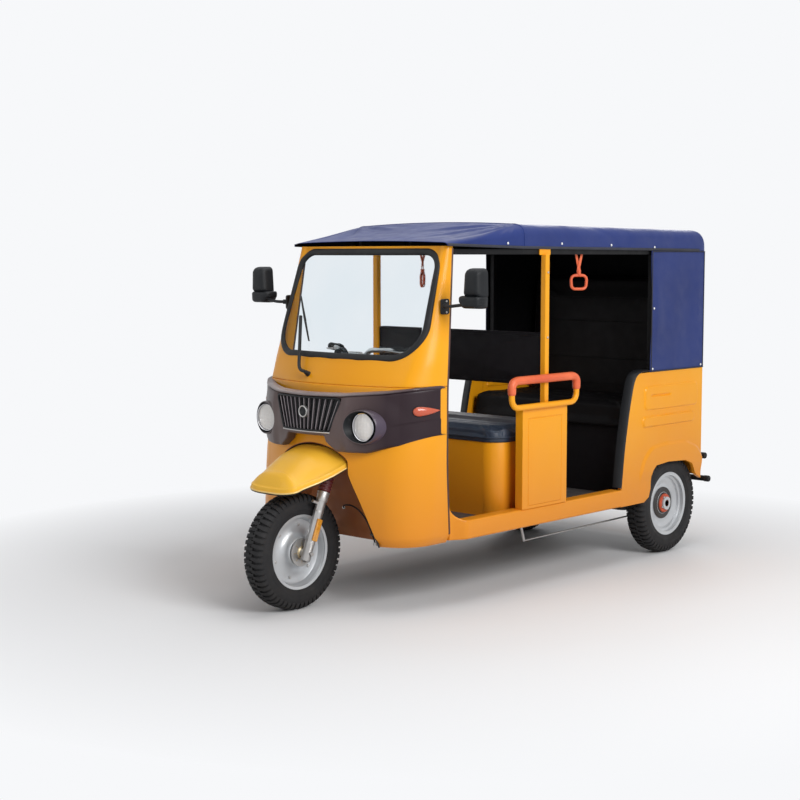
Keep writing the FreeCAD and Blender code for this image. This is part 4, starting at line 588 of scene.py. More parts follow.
def ring_skin(count, rows):
    """Quads from the windscreen hole out to the rectangle of the skin above the seam. Both outlines
    are split at their corners, so each side meets its own side."""
    hole = screen_outline(0.012, 13)
    corners = [6, 19, 32, 45]
    low, high = SEAM_Z + 0.0020, 1.600
    box = [((1, low), (1, high)), ((1, high), (-1, high)), ((-1, high), (-1, low)), ((-1, low), (1, low))]
    patches = []
    for k, (start, end) in enumerate(box):
        part = np.roll(hole, -corners[k], 0)[:(corners[(k + 1) % 4] - corners[k]) % 52 + 1]
        run = run_along(part)
        s = np.linspace(0, 1, count[k % 2])
        inner = at_lengths(part, run, s * run[-1])
        inner_t = across(inner[:, 0], inner[:, 1])
        outer = np.array(start) + (np.array(end) - np.array(start)) * s[:, None]
        v = np.linspace(0, 1, rows)[:, None]
        patches.append(grid(cab(inner_t + (outer[:, 0] - inner_t) * v,
                                inner[:, 1] + (outer[:, 1] - inner[:, 1]) * v)[::-1]))
    return patches


shell = piece("cab_skin", [lower, middle, *ring_skin((40, 130), 18)], YELLOW,
              replaces=["cab_shell"], away=(0, -0.4, 0.9), sharp=50)
bevel(thicken(shell, 0.012), 0.0025, 60)
print("cab skin:", len(shell.data.polygons), "faces")

# %% [markdown]
# ## Door-edge trim
# A dark rubber trim is pushed over the skin's raw edge on each side, from the sill to the roof rail. It
# is a tube that follows the skin's own edge.

# %% Door trim
trim_z = np.linspace(0.330, 1.590, 60)
trim_path = cab(np.ones(60), trim_z) + [-0.006, 0.0, 0.0]
piece("door_edge_trim", both(tube(trim_path, 0.0085, (1, 0, 0), 10)), BROWN)

# %% [markdown]
# ## The wheel arch's inner skin
# Behind the nose opening a bent sheet closes the arch. Its dark brown-orange paint is painted shade, with
# real road dust over it. It runs from the opening back to the frame as one swept strip.

# %% Wheel well
arch_points = cab(T, FOOT)
inside = np.abs(T) < 0.4960
arch_line = arch_points[inside]
depth_share = np.linspace(0, 1, 10)[:, None, None]
back_line = arch_line * [0.70, 0, 1] + [0, -0.874, 0]
well_rows = arch_line * (1 - depth_share) + back_line * depth_share
well_wall = grid(well_rows)
foot_point = back_line * [1, 1, 0] + [0, 0, 0.292]
back_rows = back_line * (1 - depth_share) + foot_point * depth_share
well_sheet = piece("wheel_well_sheet", [well_wall, grid(back_rows)], WELL_PAINTED_SHADE, replaces=["wheel_well"],
                   away=(0, -0.95, 1.5), sharp=50)
thicken(well_sheet, 0.003)
keep_lip = cab(T[inside], FOOT[inside]) + [0, 0.004, 0]
piece("arch_edge", [tube(keep_lip, 0.004, (0, 1, 0), 8)], RUBBER)

# %% [markdown]
# ## The front mudguard
# The guard is a shallow tray pressed upside down: a crowned top that widens from a broad blunt tip to the
# nose opening, a soft bend, and an upright skirt with a rolled hem over a rubber strip. Its plan is a
# table of half widths that ends in a squarish oval. The grid's lines fan from the crest to that plan line.

# %% Mudguard
GUARD_Y = np.array([-1.320, -1.300, -1.240, -1.169, -1.101, -1.030, -0.985])
GUARD_HALF = np.array([0.127, 0.128, 0.139, 0.156, 0.174, 0.186, 0.170])
GUARD_EDGE = np.array([0.530, 0.539, 0.557, 0.576, 0.600, 0.629, 0.645])
CREST_Y = np.array([-1.262, -1.200, -1.144, -1.045, -0.985])
CREST_Z = np.array([0.622, 0.666, 0.695, 0.717, 0.719])
TIP_START, TIP_DEPTH = -1.262, 0.050


def guard_plan(count_side, count_nose):
    """Half of the plan line from the back to the tip: the table's width, then a quarter of the oval
    |x / half|^3.2 + |y / depth|^3.2 = 1."""
    y_side = np.linspace(-0.985, TIP_START, count_side)
    x_side = np.interp(y_side, GUARD_Y, GUARD_HALF)
    turn = np.linspace(0, np.pi / 2, count_nose)[1:]
    x_nose = x_side[-1] * np.maximum(np.cos(turn), 0) ** (2 / 3.2)
    y_nose = TIP_START - TIP_DEPTH * np.sin(turn) ** (2 / 3.2)
    return join([x_side, x_nose]), join([y_side, y_nose])


plan_x, plan_y = guard_plan(30, 30)
plan_x = join([plan_x, -plan_x[-2::-1]])
plan_y = join([plan_y, plan_y[-2::-1]])
plan = np.stack([plan_x, plan_y], -1)
crest_y = np.maximum(plan_y, TIP_START)
crest = np.stack([0 * plan_x, crest_y], -1)
edge_z = np.interp(plan_y, GUARD_Y, GUARD_EDGE)
crown_z = np.interp(crest_y, CREST_Y, CREST_Z)
plan_tangent = unit(np.gradient(plan, axis=0))
plan_out = np.stack([-plan_tangent[:, 1], plan_tangent[:, 0]], -1)
plan_out *= np.sign((plan_out * (plan - crest)).sum(-1, keepdims=True) + 1e-9)
s = np.linspace(0, 1, 24)[:, None]
top_xy = crest[None] + (plan - crest)[None] * s[..., None]
shoulder = edge_z + 0.024
top_z = shoulder + (crown_z - shoulder) * (1 - s ** (3.0 - 0.9 * smooth_step(-plan_y, 1.275, 1.308)))
turn = np.linspace(0, np.pi / 2, 6)[1:, None]
bend_xy = plan[None] + 0.007 * np.sin(turn)[..., None] * plan_out[None]
bend_z = shoulder - 0.009 * (1 - np.cos(turn))
skirt = np.linspace(0, 1, 6)[1:, None]
skirt_xy = plan[None] + (0.007 + 0.002 * skirt)[..., None] * plan_out[None]
skirt_z = shoulder - 0.009 - 0.015 * skirt
guard_rows = join([xyz(*np.moveaxis(xy, -1, 0), z) for xy, z in
                   ((top_xy, top_z), (bend_xy, bend_z), (skirt_xy, skirt_z))])
# The guard's lighter enamel is painted highlight.
guard = piece("mudguard_pressing", [grid(guard_rows)], GUARD_PAINTED_HIGHLIGHT,
              replaces=["front_mudguard"], away=(0, -1.1, 0.4), sharp=60)
thicken(guard, 0.003)
# The hem bead's pale colour is a painted highlight.
hem_line = guard_rows[-1] + join([0.0005 * plan_out, np.full((len(plan), 1), 0.002)], -1)
piece("mudguard_hem", [tube(hem_line, 0.0036, (0, 0, 1), 8)], EDGE)
rubber_line = guard_rows[-1] + join([-0.002 * plan_out, np.full((len(plan), 1), -0.003)], -1)
piece("mudguard_rubber", [tube(rubber_line, 0.0042, (0, 0, 1), 8)], RUBBER)
print("mudguard rows:", guard_rows.shape)

# %% [markdown]
# ## The mask
# A moulded plastic mask carries the lamps and the grille. Its columns follow the grille's slanted
# sides in the middle and the body's plan curve outside. The face swells round each lamp and is sunk
# where the lamp stands, and the rim turns in all round to meet the skin.

# %% Mask outline as rows across
MASK_X = np.array([0.0, 0.168, 0.206, 0.246, 0.350, 0.425, 0.475, 0.509])
MASK_LOW = np.array([0.770, 0.770, 0.736, 0.704, 0.704, 0.742, 0.764, 0.780])
MASK_HIGH_X = np.array([0.0, 0.200, 0.360, 0.450, 0.509])
MASK_HIGH = np.array([0.946, 0.949, 0.962, 0.975, 0.983])
GRILLE_FOOT, GRILLE_TOP = 0.792, 0.938
LAMP_AT = np.array([0.307, -1.040, 0.820])
LAMP_AXIS = (0, 1, 0)
POD_OVAL = 0.25
MASK_FRONT, MASK_CORNER, MASK_SAG = -1.112, 0.420, 0.182
MASK_RADIUS = (MASK_CORNER ** 2 + MASK_SAG ** 2) / (2 * MASK_SAG)


def front_arc(x, radius=MASK_RADIUS):
    """The front arc's y at x: front + R - sqrt(R^2 - x^2)."""
    return MASK_FRONT + radius - np.sqrt(radius ** 2 - x ** 2)


def corner_arc(u):
    """The outer run, u from 0 at the front arc's end (0.420, -0.930) to 1 at the outer end
    (0.509, -0.764): a straight line bowed out by 13 mm each way."""
    bow = 4 * u * (1 - u)
    return MASK_CORNER + 0.089 * u + 0.013 * bow, -0.930 + 0.166 * u - 0.013 * bow


def mask_plan(p):
    """The plan curve, p from 0 at the centre to 1 at the outer end: the front arc up to 0.6 and the
    corner arc from there."""
    p = np.abs(p)
    x_front = MASK_CORNER * np.minimum(p, 0.6) / 0.6
    x_out, y_out = corner_arc(np.clip((p - 0.6) / 0.4, 0, 1))
    return np.where(p < 0.6, x_front, x_out), np.where(p < 0.6, front_arc(x_front), y_out)


def grille_half(z):
    return 0.142 + 0.058 * np.clip((z - GRILLE_FOOT) / (GRILLE_TOP - GRILLE_FOOT), -0.3, 1.1)


# %% The mask's rows
P_GRILLE = 0.6 * 0.200 / MASK_CORNER
p_line = join([np.linspace(0, P_GRILLE - 0.004, 12), np.linspace(P_GRILLE + 0.004, 1, 130)])
p_line = join([-p_line[:0:-1], p_line])
share = join([np.linspace(0, 0.1, 6)[:-1], np.linspace(0.1, 0.9, 56)[:-1],
              np.linspace(0.9, 1, 6)])[:, None]
plain_x, _ = mask_plan(p_line)
high = np.interp(plain_x, MASK_HIGH_X, MASK_HIGH)
low = np.interp(plain_x, MASK_X, MASK_LOW)
mask_z = low + (high - low) * share
lean = np.where(plain_x < MASK_CORNER, grille_half(mask_z) / 0.200, 1.0)
ease = np.clip((MASK_CORNER - plain_x) / 0.22, 0, 1)
mask_x = plain_x * (1 - ease + ease * lean)
front_y = front_arc(np.minimum(mask_x, MASK_CORNER))
mask_y = np.where(plain_x <= MASK_CORNER, front_y, mask_plan(p_line)[1])
proud = smooth_step(mask_x, 0.185, 0.235)
lamp_x = (mask_x - LAMP_AT[0]) / np.where(mask_x < LAMP_AT[0], 1 + POD_OVAL, 1)
lamp_far = np.hypot(lamp_x, mask_z - LAMP_AT[2])
pod = 0.010 * (1 - smooth_step(lamp_far, 0.082, 0.150))
mask_y = mask_y + 0.010 * (1 - proud) - pod
edge_far = np.minimum(mask_z - low, high - mask_z)
edge_share = np.clip(edge_far / 0.012, 0, 1)
turn_in = 0.012 * (1 - np.sqrt(edge_share * (2 - edge_share)))
crease_z = np.interp(mask_x, [0.40, 0.509], [0.825, 0.850])
crease = 0.0035 * (1 - smooth_step(mask_z, crease_z - 0.003, crease_z + 0.002))
crease = crease * smooth_step(mask_x, 0.385, 0.425)
mask_y = mask_y + turn_in + crease
hole = (np.abs(p_line) < P_GRILLE)[None] & (mask_z > GRILLE_FOOT) & (mask_z < GRILLE_TOP)
sunk = np.where(hole, 0.022, 0) + 0.044 * (1 - smooth_step(lamp_far, 0.063, 0.0715))
front = xyz(np.sign(p_line) * mask_x, mask_y + sunk, mask_z)
rims = front[[0, -1]] + [0, 0.040, 0]
mask_rows = join([rims[:1], front, rims[1:]])
end = mask_rows[:, -1:] + [-0.014, 0.010, 0]
start_end = mask_rows[:, :1] + [0.014, 0.010, 0]
mask_rows = join([start_end, mask_rows, end], 1)
MASK_OVERLAP = 0.499  # the mask's face stays in front of the skin up to this x
over_x = np.clip(mask_rows[..., 0], -MASK_OVERLAP, MASK_OVERLAP)
skin_y = cab(across(over_x, mask_rows[..., 2]), mask_rows[..., 2])[..., 1]
sink = np.full(mask_rows.shape[:2], 0.006)
sink[1:-1, 1:-1] = np.where(hole | (lamp_far < 0.0715), 0.03, -0.003)
skin_y = np.where(np.abs(mask_rows[..., 0]) > MASK_OVERLAP, 0.0, skin_y)
mask_rows[..., 1] = np.minimum(mask_rows[..., 1], skin_y + sink)
piece("lamp_mask", [grid(mask_rows)], MASK, replaces=["front_mask"],
      away=(0, -0.7, 0.86), sharp=42)
print("mask grid:", mask_rows.shape)

# %% [markdown]
# ### Ledge, grille and lamps
# A paler strip caps the mask, a bright bead closes the grille's foot, and thirteen plated slats stand
# in a dark opening with a plain round boss. Each lamp pod is half round outboard and drawn out inboard,
# with its rim in one slanted plane; it holds a bright bowl behind a faceted glass.

# %% Grille and ledge
LEDGE_END = 0.975
ledge_p = np.linspace(-LEDGE_END, LEDGE_END, 121)
ledge_x, ledge_y = mask_plan(ledge_p)
ledge_z = np.interp(ledge_x, MASK_HIGH_X, MASK_HIGH)
ledge = xyz(np.sign(ledge_p) * ledge_x, ledge_y, ledge_z)
section = np.array([(0.014, 0.000), (0.004, -0.001), (-0.001, 0.003), (0.001, 0.008), (0.010, 0.011),
                    (0.050, 0.013)])
ends = np.clip((LEDGE_END - np.abs(ledge_p)) / 0.07, 0, 1)[None] ** 0.5
ledge_rows = ledge[None] + xyz(0 * ends * section[:, :1], section[:, :1] + 0 * ends, section[:, 1:] * ends)
piece("mask_ledge", [grid(ledge_rows)], GREY_LEDGE, away=(0, -0.8, 0.90))


def grille_y(x, back):
    """The front arc's y behind the mask's face."""
    return front_arc(x, 0.576) + back


frame_outline = by_length(four_corners((0.142, GRILLE_FOOT), (0.200, GRILLE_TOP), 0.010, 0.016, 7), 150)
frame_line = xyz(frame_outline[:, 0], grille_y(frame_outline[:, 0], 0.007), frame_outline[:, 1])
piece("grille_frame", [tube(frame_line, 0.0045, (0, 1, 0), 8, closed=True)], PLASTIC)
slat_z = np.linspace(GRILLE_FOOT + 0.003, GRILLE_TOP - 0.003, 24)
slat_section = np.array([(-0.0024, 0.010), (-0.0024, 0.0005), (0, -0.0010), (0.0024, 0.0005),
                         (0.0024, 0.010)])
slats = []
for share in np.linspace(-0.93, 0.93, 13):
    slat_x = share * grille_half(slat_z)
    line = xyz(slat_x, grille_y(slat_x, 0.012), slat_z)
    slats.append(grid(line[None] + np.pad(slat_section, ((0, 0), (0, 1)))[:, None]))
piece("grille_slats", slats, SLAT, replaces=["grille"], away=(0, -0.9, 0.865))
boss = turned([(0.014, 0.0185), (0.014, 0.0270), (0.002, 0.0270), (-0.002, 0.0262), (-0.0035, 0.0235),
               (-0.002, 0.0210), (0.004, 0.0200)], (0, -1.106, 0.873), (0, 1, 0), 40, closed=True)
disc = turned([(0.010, 0), (0.010, 0.0200), (0.0025, 0.0200), (0.0008, 0.0180), (0.0, 0)],
              (0, -1.106, 0.873), (0, 1, 0), 40, material=1)
piece("grille_boss", [boss, disc], [STEEL, PLASTIC])
foot_x = np.linspace(-0.146, 0.146, 41)
foot_line = xyz(foot_x, grille_y(foot_x, 0.008), 0.786)
piece("grille_foot_bead", [tube(foot_line, 0.0034, (0, 0, 1), 8)], STEEL)
back_x = np.linspace(-0.21, 0.21, 31)
dark_back = np.stack([xyz(back_x, grille_y(back_x, 0.026), z) for z in (0.785, 0.945)])
piece("grille_backing", [grid(dark_back)], PLASTIC, away=(0, -0.9, 0.86))

# %% Headlamps and indicators
def pod_ring():
    """The pod: half ovals about the lamp's axis, drawn out inboard, where a hollow leads in to the glass;
    the hollow's wall is black plastic as painted shade. The rim lies in one slanted plane, so the collar
    is deep on the outboard side."""
    angle = np.linspace(0, 2 * np.pi, 84, endpoint=False)[None]
    radius = np.array([0.0775, 0.0768, 0.0755, 0.0735, 0.0715, 0.0700, 0.0690, 0.0665, 0.0645, 0.063,
                       0.061])[:, None]
    drawn = 1 + POD_OVAL * np.clip((radius - 0.061) / 0.009, 0, 1) * (np.cos(angle) < 0)
    x = LAMP_AT[0] + radius * np.cos(angle) * drawn
    z = LAMP_AT[2] + radius * np.sin(angle)
    base = grille_y(np.clip(x, 0, 0.44), 0.0)
    rim = -1.037 + 0.246 * (x - 0.3755)
    forward = np.array([0.004, -0.004, 0.006, 0.001, -0.001, 0, 0.006, 0, 0, 0, 0])[:, None]
    on_rim = np.array([0, 0, 1, 1, 1, 1, 1, 1, 1, 1, 1])[:, None]
    deep = np.array([0, 0, 0, 0, 0, 0, 0, 0.4, 0.8, 1, 1])[:, None]
    y = (base * (1 - on_rim) + rim * on_rim + forward) * (1 - deep) + (LAMP_AT[1] + 0.012) * deep
    rows = xyz(x, y, z)
    # The hollow's rows take the second finish, black plastic, as painted shade in the recess.
    return grid(rows[:6], wrap_columns=True), grid(rows[5:], wrap_columns=True, material=1)


piece("lamp_pods", both(*pod_ring()), [POD, PLASTIC], replaces=["headlamps"], away=(0, -0.6, 0.82), sharp=50)
LENS_RADIUS = 0.0588
ring_profile = [(0.030, 0.0618), (0.000, 0.0626), (-0.004, 0.0614), (-0.003, 0.0594), (0.010, 0.0586)]
rings = turned(ring_profile, LAMP_AT, LAMP_AXIS, 56)
bowl = turned([(0.008, 0.0590), (0.030, 0.048), (0.048, 0.028), (0.054, 0.0)], LAMP_AT, LAMP_AXIS, 48)
bulb = turned([(0.030, 0.0), (0.028, 0.010), (0.034, 0.016), (0.054, 0.017)], LAMP_AT, LAMP_AXIS, 24)
piece("lamp_reflectors", both(rings, bowl, bulb), CHROME, away=(0, -0.9, 0.82))
v = np.linspace(-1, 1, 36)
gx, gz = np.meshgrid(v, v, indexing="ij")
disc_x = gx * np.sqrt(1 - gz ** 2 / 2) * LENS_RADIUS
disc_z = gz * np.sqrt(1 - gx ** 2 / 2) * LENS_RADIUS
dome = -0.010 * (1 - (disc_x ** 2 + disc_z ** 2) / LENS_RADIUS ** 2)
facet_x, facet_z = (np.abs((disc / wide + 40) % 1 - 0.5)
                    for disc, wide in ((disc_x, 0.018), (disc_z, 0.015)))
facet = 0.0016 * np.maximum(facet_x, facet_z) * 2
lens_grid = xyz(LAMP_AT[0] + disc_x, LAMP_AT[1] + 0.004 + dome + facet, LAMP_AT[2] + disc_z)
glass = piece("lamp_glasses", both(grid(lens_grid)), LENS, away=(0, -0.7, 0.82), sharp=20)
thicken(glass, 0.003)


def indicator(grow, rise, base):
    """A long lens on the mask's corner, blunt inboard and pointed outboard. Along it the half height is
    h (1 - (1 - s / 0.22)^2)^0.5 and then h (1 - w^1.7); round it the section is half an oval."""
    s = (0.5 - 0.5 * np.cos(np.linspace(0, np.pi, 41)))[:, None]
    w = np.clip((s - 0.22) / 0.78, 0, 1)
    tall = np.where(s < 0.22, np.sqrt(np.clip(1 - (1 - s / 0.22) ** 2, 0, 1)), 1 - w ** 1.7)
    angle = np.linspace(0, 2 * np.pi, 28, endpoint=False)[None]
    u = 0.310 + 0.670 * s
    x, y = corner_arc(u)
    along = np.stack([0.089 + 0.052 * (1 - 2 * u), 0.166 - 0.052 * (1 - 2 * u)], -1)
    across_it = unit(np.stack([along[..., 1], -along[..., 0]], -1))
    out = base + np.maximum(np.sin(angle), -0.3) * rise * tall ** 0.7
    z = 0.886 + 0.002 * s + (0.0210 * tall + grow * tall ** 0.3) * np.cos(angle)
    return grid(xyz(x + out * across_it[..., 0], y + out * across_it[..., 1], z), wrap_columns=True)


piece("indicator_bases", both(indicator(0.003, 0.006, 0.002)), PLASTIC, replaces=["indicators"], sharp=60)
piece("indicator_lenses", both(indicator(0.0, 0.013, 0.004)), AMBER, sharp=60)

# %% [markdown]
# ## Tyres
# A tyre is a turned carcass with a tread. The carcass is one closed profile: flat crown, round
# shoulder, plain wall with two fine rings, bead. The chunky lugs sit across the shoulders in pairs, set
# half a pitch apart on the two sides, so each is one small block repeated around the wheel.

# %% Tyres
LUG_COUNT = 56
CARCASS = [(-0.040, 0.161), (-0.046, 0.165), (-0.050, 0.176), (-0.053, 0.188), (-0.0545, 0.190),
           (-0.0545, 0.193), (-0.055, 0.204), (-0.0545, 0.213), (-0.0535, 0.216), (-0.052, 0.226),
           (-0.048, 0.236), (-0.042, 0.243), (-0.030, 0.248), (0.000, 0.250)]
CARCASS = np.array(CARCASS + [(-along, radius) for along, radius in CARCASS[-2::-1]]
                   + [(0.030, 0.1545), (-0.030, 0.1545)])


def lug_row(side, shift):
    """Shoulder lugs: each block runs from the crown over the shoulder, (across, radius) by station,
    and is 0.6 of a pitch wide; it leans a little along the tread."""
    stations = np.array([(0.004, 0.258, 0.247), (0.024, 0.2575, 0.245), (0.040, 0.254, 0.240),
                         (0.0495, 0.246, 0.234), (0.0545, 0.2335, 0.228)])
    pitch = 2 * np.pi / LUG_COUNT
    wide = pitch * np.array([0.23, 0.27, 0.31, 0.33, 0.33])
    lean = pitch * np.array([-0.16, -0.02, 0.05, 0.06, 0.06])
    middle = (np.arange(LUG_COUNT) + shift)[:, None] * pitch + lean
    angle = middle[..., None] + wide[:, None] * np.array([-1, 1, 1, -1])
    inner = stations[:, 2] - 0.004
    radius = np.stack([stations[:, 1], stations[:, 1], inner, inner], -1)[None]
    across_tyre = side * np.stack([stations[:, 0], stations[:, 0], stations[:, 0] - 0.001,
                                   stations[:, 0] - 0.001], -1)[None] + 0 * angle
    return blocks(xyz(across_tyre, radius * np.cos(angle), radius * np.sin(angle)))


def centre_row():
    """Small blocks along the crown's middle, one to a pitch, standing between the shoulder lugs."""
    pitch = 2 * np.pi / LUG_COUNT
    stations = np.array([-0.012, 0.0, 0.012])
    middle = (np.arange(LUG_COUNT) + 0.5)[:, None] * pitch + pitch * np.array([0.12, 0, -0.12])
    angle = middle[..., None] + 0.2 * pitch * np.array([-1, 1, 1, -1])
    radius = np.array([0.2578, 0.2578, 0.246, 0.246])[None, None] + 0 * angle
    return blocks(xyz(stations[None, :, None] + 0 * angle, radius * np.cos(angle), radius * np.sin(angle)))


def tyre(name, centre, body, node):
    centre = np.array(centre)
    shape = [turned(CARCASS, (0, 0, 0), (1, 0, 0), 96, closed=True), lug_row(1, 0.0), lug_row(-1, 0.5),
             centre_row()]
    shape = [(points + centre, faces, material) for points, faces, material in shape]
    piece(name, shape, TYRE, body, [node], sharp=35)


AXLE = (0.0, -1.170, 0.258)
REAR = {"left": (0.458, 1.067, 0.258), "right": (-0.458, 1.067, 0.258)}
tyre("front_tyre_rubber", AXLE, "front_wheel", "front_tyre")
for side, centre in REAR.items():
    tyre(f"rear_tyre_rubber_{side}", centre, f"rear_wheel_{side}", f"rear_tyre_{side}")

# %% [markdown]
# ### Rims
# The front rim is a deep bright bowl pressed in two halves around a drum. The rear rims are the same
# pressing with a step ring, a dark drum and a rusty hub held by four nuts. All are turned profiles.

# %% Rims
FRONT_RIM = [(0.045, 0.154), (0.047, 0.166), (0.043, 0.168), (0.040, 0.160), (0.034, 0.153), (0.022, 0.149),
             (0.008, 0.146), (0.004, 0.138), (0.003, 0.112), (0.006, 0.090), (0.016, 0.074), (0.030, 0.068),
             (0.040, 0.066), (0.044, 0.062), (0.045, 0.050), (0.045, 0.014)]
front_half = [turned(FRONT_RIM, AXLE, (side, 0, 0), 72) for side in (1, -1)]
seat_band = turned([(0.045, 0.154), (0.036, 0.1545), (0.020, 0.150), (-0.020, 0.150), (-0.036, 0.1545),
                    (-0.045, 0.154)], AXLE, (1, 0, 0), 72)
piece("front_rim_bowl", front_half + [seat_band], SILVER, "front_wheel", ["front_rim"],
      sharp=35)


def spots(count, radius, start=0.0):
    angle = start + np.arange(count) * 2 * np.pi / count
    return xyz(0 * angle, radius * np.cos(angle), radius * np.sin(angle))


def bolt_set(centre, places, side, size, length, material=0):
    """Six-sided bolt heads on a wheel face, each a short turned piece with a domed end."""
    profile = [(0, size), (length * 0.8, size), (length, size * 0.72), (length, 0.0)]
    return [turned(profile, np.array(centre) + place, (side, 0, 0), 6,
                   material=material) for place in places]


rim_bolts = [bolt_set(np.array(AXLE) + [side * 0.004, 0, 0], spots(6, 0.118, 0.3), side, 0.007, 0.006)
             for side in (1, -1)]
piece("front_rim_bolts", rim_bolts[0] + rim_bolts[1], STEEL, "front_wheel", sharp=30)
REAR_RIM = [(0.045, 0.154), (0.047, 0.166), (0.043, 0.168), (0.040, 0.160), (0.034, 0.152), (0.020, 0.147),
            (0.006, 0.144), (0.003, 0.136), (0.003, 0.126), (0.009, 0.122), (0.010, 0.114), (0.005, 0.108),
            (0.004, 0.094), (0.008, 0.088), (0.008, 0.082)]
DRUM = [(0.006, 0.084), (0.014, 0.083), (0.017, 0.078), (0.016, 0.056), (0.022, 0.052), (0.022, 0.030)]
HUB = [(0.020, 0.050), (0.028, 0.048), (0.030, 0.042), (0.030, 0.026), (0.038, 0.023), (0.040, 0.018),
       (0.040, 0.0)]
for side, centre in REAR.items():
    out = 1 if side == "left" else -1
    whole = [turned(REAR_RIM, centre, (out, 0, 0), 72),
             turned([(0.045, 0.154), (0.020, 0.150), (-0.020, 0.150), (-0.045, 0.154), (-0.047, 0.166)],
                    centre, (out, 0, 0), 72),
             turned(DRUM, centre, (out, 0, 0), 56, material=1),
             turned(HUB, centre, (out, 0, 0), 48, material=2)]
    whole += bolt_set(np.array(centre) + [out * 0.028, 0, 0], spots(4, 0.036, 0.5), out, 0.0065, 0.009, 3)
    whole += bolt_set(np.array(centre) + [out * 0.003, 0, 0], spots(6, 0.131, 0.2), out, 0.005, 0.004, 0)
    piece(f"rear_rim_face_{side}", whole, [SILVER, CAST, HUB_RED, STEEL], f"rear_wheel_{side}",
          sharp=35)
    keep_node(f"rear_rim_{side}", SILVER)
print("wheels done")

# %% [markdown]
# ## The fork
# Bright sliders hold the axle and end in flared tops; ribbed shrouds in dark red cover the springs
# above. A bronze brake plate closes the drum, with a lever for the cable, and an amber reflector sits
# on the outer face of each slider. Everything here turns with the steering.

# %% Fork
RAKE = np.radians(22)
UP = np.array([0, np.sin(RAKE), np.cos(RAKE)])
AHEAD = np.array([0, -np.cos(RAKE), np.sin(RAKE)])
SIDE = np.array([1.0, 0, 0])
axle = np.array(AXLE)


def along_fork(x, up, ahead=0.0):
    """A point of the fork: the axle plus x sideways, up the leg, and ahead square to it."""
    return axle + x * SIDE + up * UP + ahead * AHEAD


keep_node("fork_sliders", STEEL, 0.002)
leg_parts = []
for x in (0.088, -0.088):
    for up, radius in ((0.190, 0.0235), (0.266, 0.0275), (0.277, 0.0285), (0.048, 0.0230)):
        leg_parts.append(turned([(-0.003, 0.02), (-0.003, radius), (0.003, radius), (0.003, 0.02)],
                                along_fork(x, up), UP, 32))
piece("slider_rings", leg_parts, STEEL, "steering", sharp=35)
shroud = []
rib = np.linspace(0.282, 0.388, 57)
shroud_profile = np.stack([rib, 0.0275 + 0.0020 * np.cos((rib - 0.282) / 0.106 * 2 * np.pi * 7)], -1)
for x in (0.088, -0.088):
    shroud.append(turned([(rib[0], 0.0235), *shroud_profile.tolist(), (rib[-1], 0.0245)],
                         along_fork(x, 0), UP, 28))
piece("spring_gaiters", shroud, FORK_RED, "steering", sharp=60)
keep_node("fork_upper", FORK_RED, 0.0015)


def fork_block(low, high, corner):
    """A rounded block in the fork's own directions: x, ahead, up."""
    low, high = np.array(low), np.array(high)
    size, middle = (high - low) / 2, (high + low) / 2
    outline = four_corners((size[1], -size[2]), (size[1], size[2]), corner, corner, 5)

    def place(a, b, depth):
        aside, ahead, up = (centre + part for centre, part in zip(middle, (depth, a, b)))
        points = axle + aside[..., None] * SIDE + ahead[..., None] * AHEAD + up[..., None] * UP
        return points[..., 0], points[..., 1], points[..., 2]
    rows = [(0.0, -size[0]), (0.0, size[0] - 0.002), (0.0008, size[0] - 0.0006), (0.0025, size[0])]
    return slab(outline, rows, place)


# %% Reflectors, brake plate, lever
piece("fork_reflectors", [fork_block((0.1085, -0.015, 0.058), (0.1150, 0.015, 0.158), 0.004),
                          fork_block((-0.1150, -0.015, 0.058), (-0.1085, 0.015, 0.158), 0.004)], REFLECTOR,
      "steering")
PLATE_PROFILE = [(0.0495, 0.060), (0.0525, 0.062), (0.0555, 0.060), (0.0560, 0.050), (0.0540, 0.047),
                 (0.0540, 0.030), (0.0580, 0.026), (0.0620, 0.022), (0.0640, 0.016), (0.0640, 0.0)]
plate = turned(PLATE_PROFILE, AXLE, (1, 0, 0), 56)
rib_angle = np.linspace(0, 2 * np.pi, 9)[:-1]
plate_ribs = []
for angle in rib_angle:
    start = axle + [0.0545, 0.028 * np.cos(angle), 0.028 * np.sin(angle)]
    end = axle + [0.0545, 0.049 * np.cos(angle), 0.049 * np.sin(angle)]
    plate_ribs.append(tube(np.linspace(start, end, 3), 0.0025, (1, 0, 0), 6))
axle_nut = turned([(0.064, 0.014), (0.074, 0.014), (0.075, 0.012), (0.075, 0.007), (0.081, 0.0065),
                   (0.081, 0)], AXLE, (1, 0, 0), 6)
piece("brake_plate_face", [plate, axle_nut, *plate_ribs], BRONZE, "steering", sharp=30)
lever_path = [axle + (0.066, 0.020, -0.038), axle + (0.070, 0.012, -0.010), axle + (0.070, 0.020, 0.030)]
lever_head = turned([(-0.004, 0), (-0.004, 0.010), (0.008, 0.010), (0.009, 0.006), (0.009, 0)],
                    axle + (0.062, 0.020, -0.038), (1, 0, 0), 20)
piece("brake_lever", [tube(rounded_path(lever_path, 0.01), 0.0045, (1, 0, 0), 8), lever_head], STEEL,
      "steering")

# %% [markdown]
# ## Handlebar, levers and column
# A bright bent bar ends in ribbed rubber grips. Levers, perches and a switch block sit inboard of each.

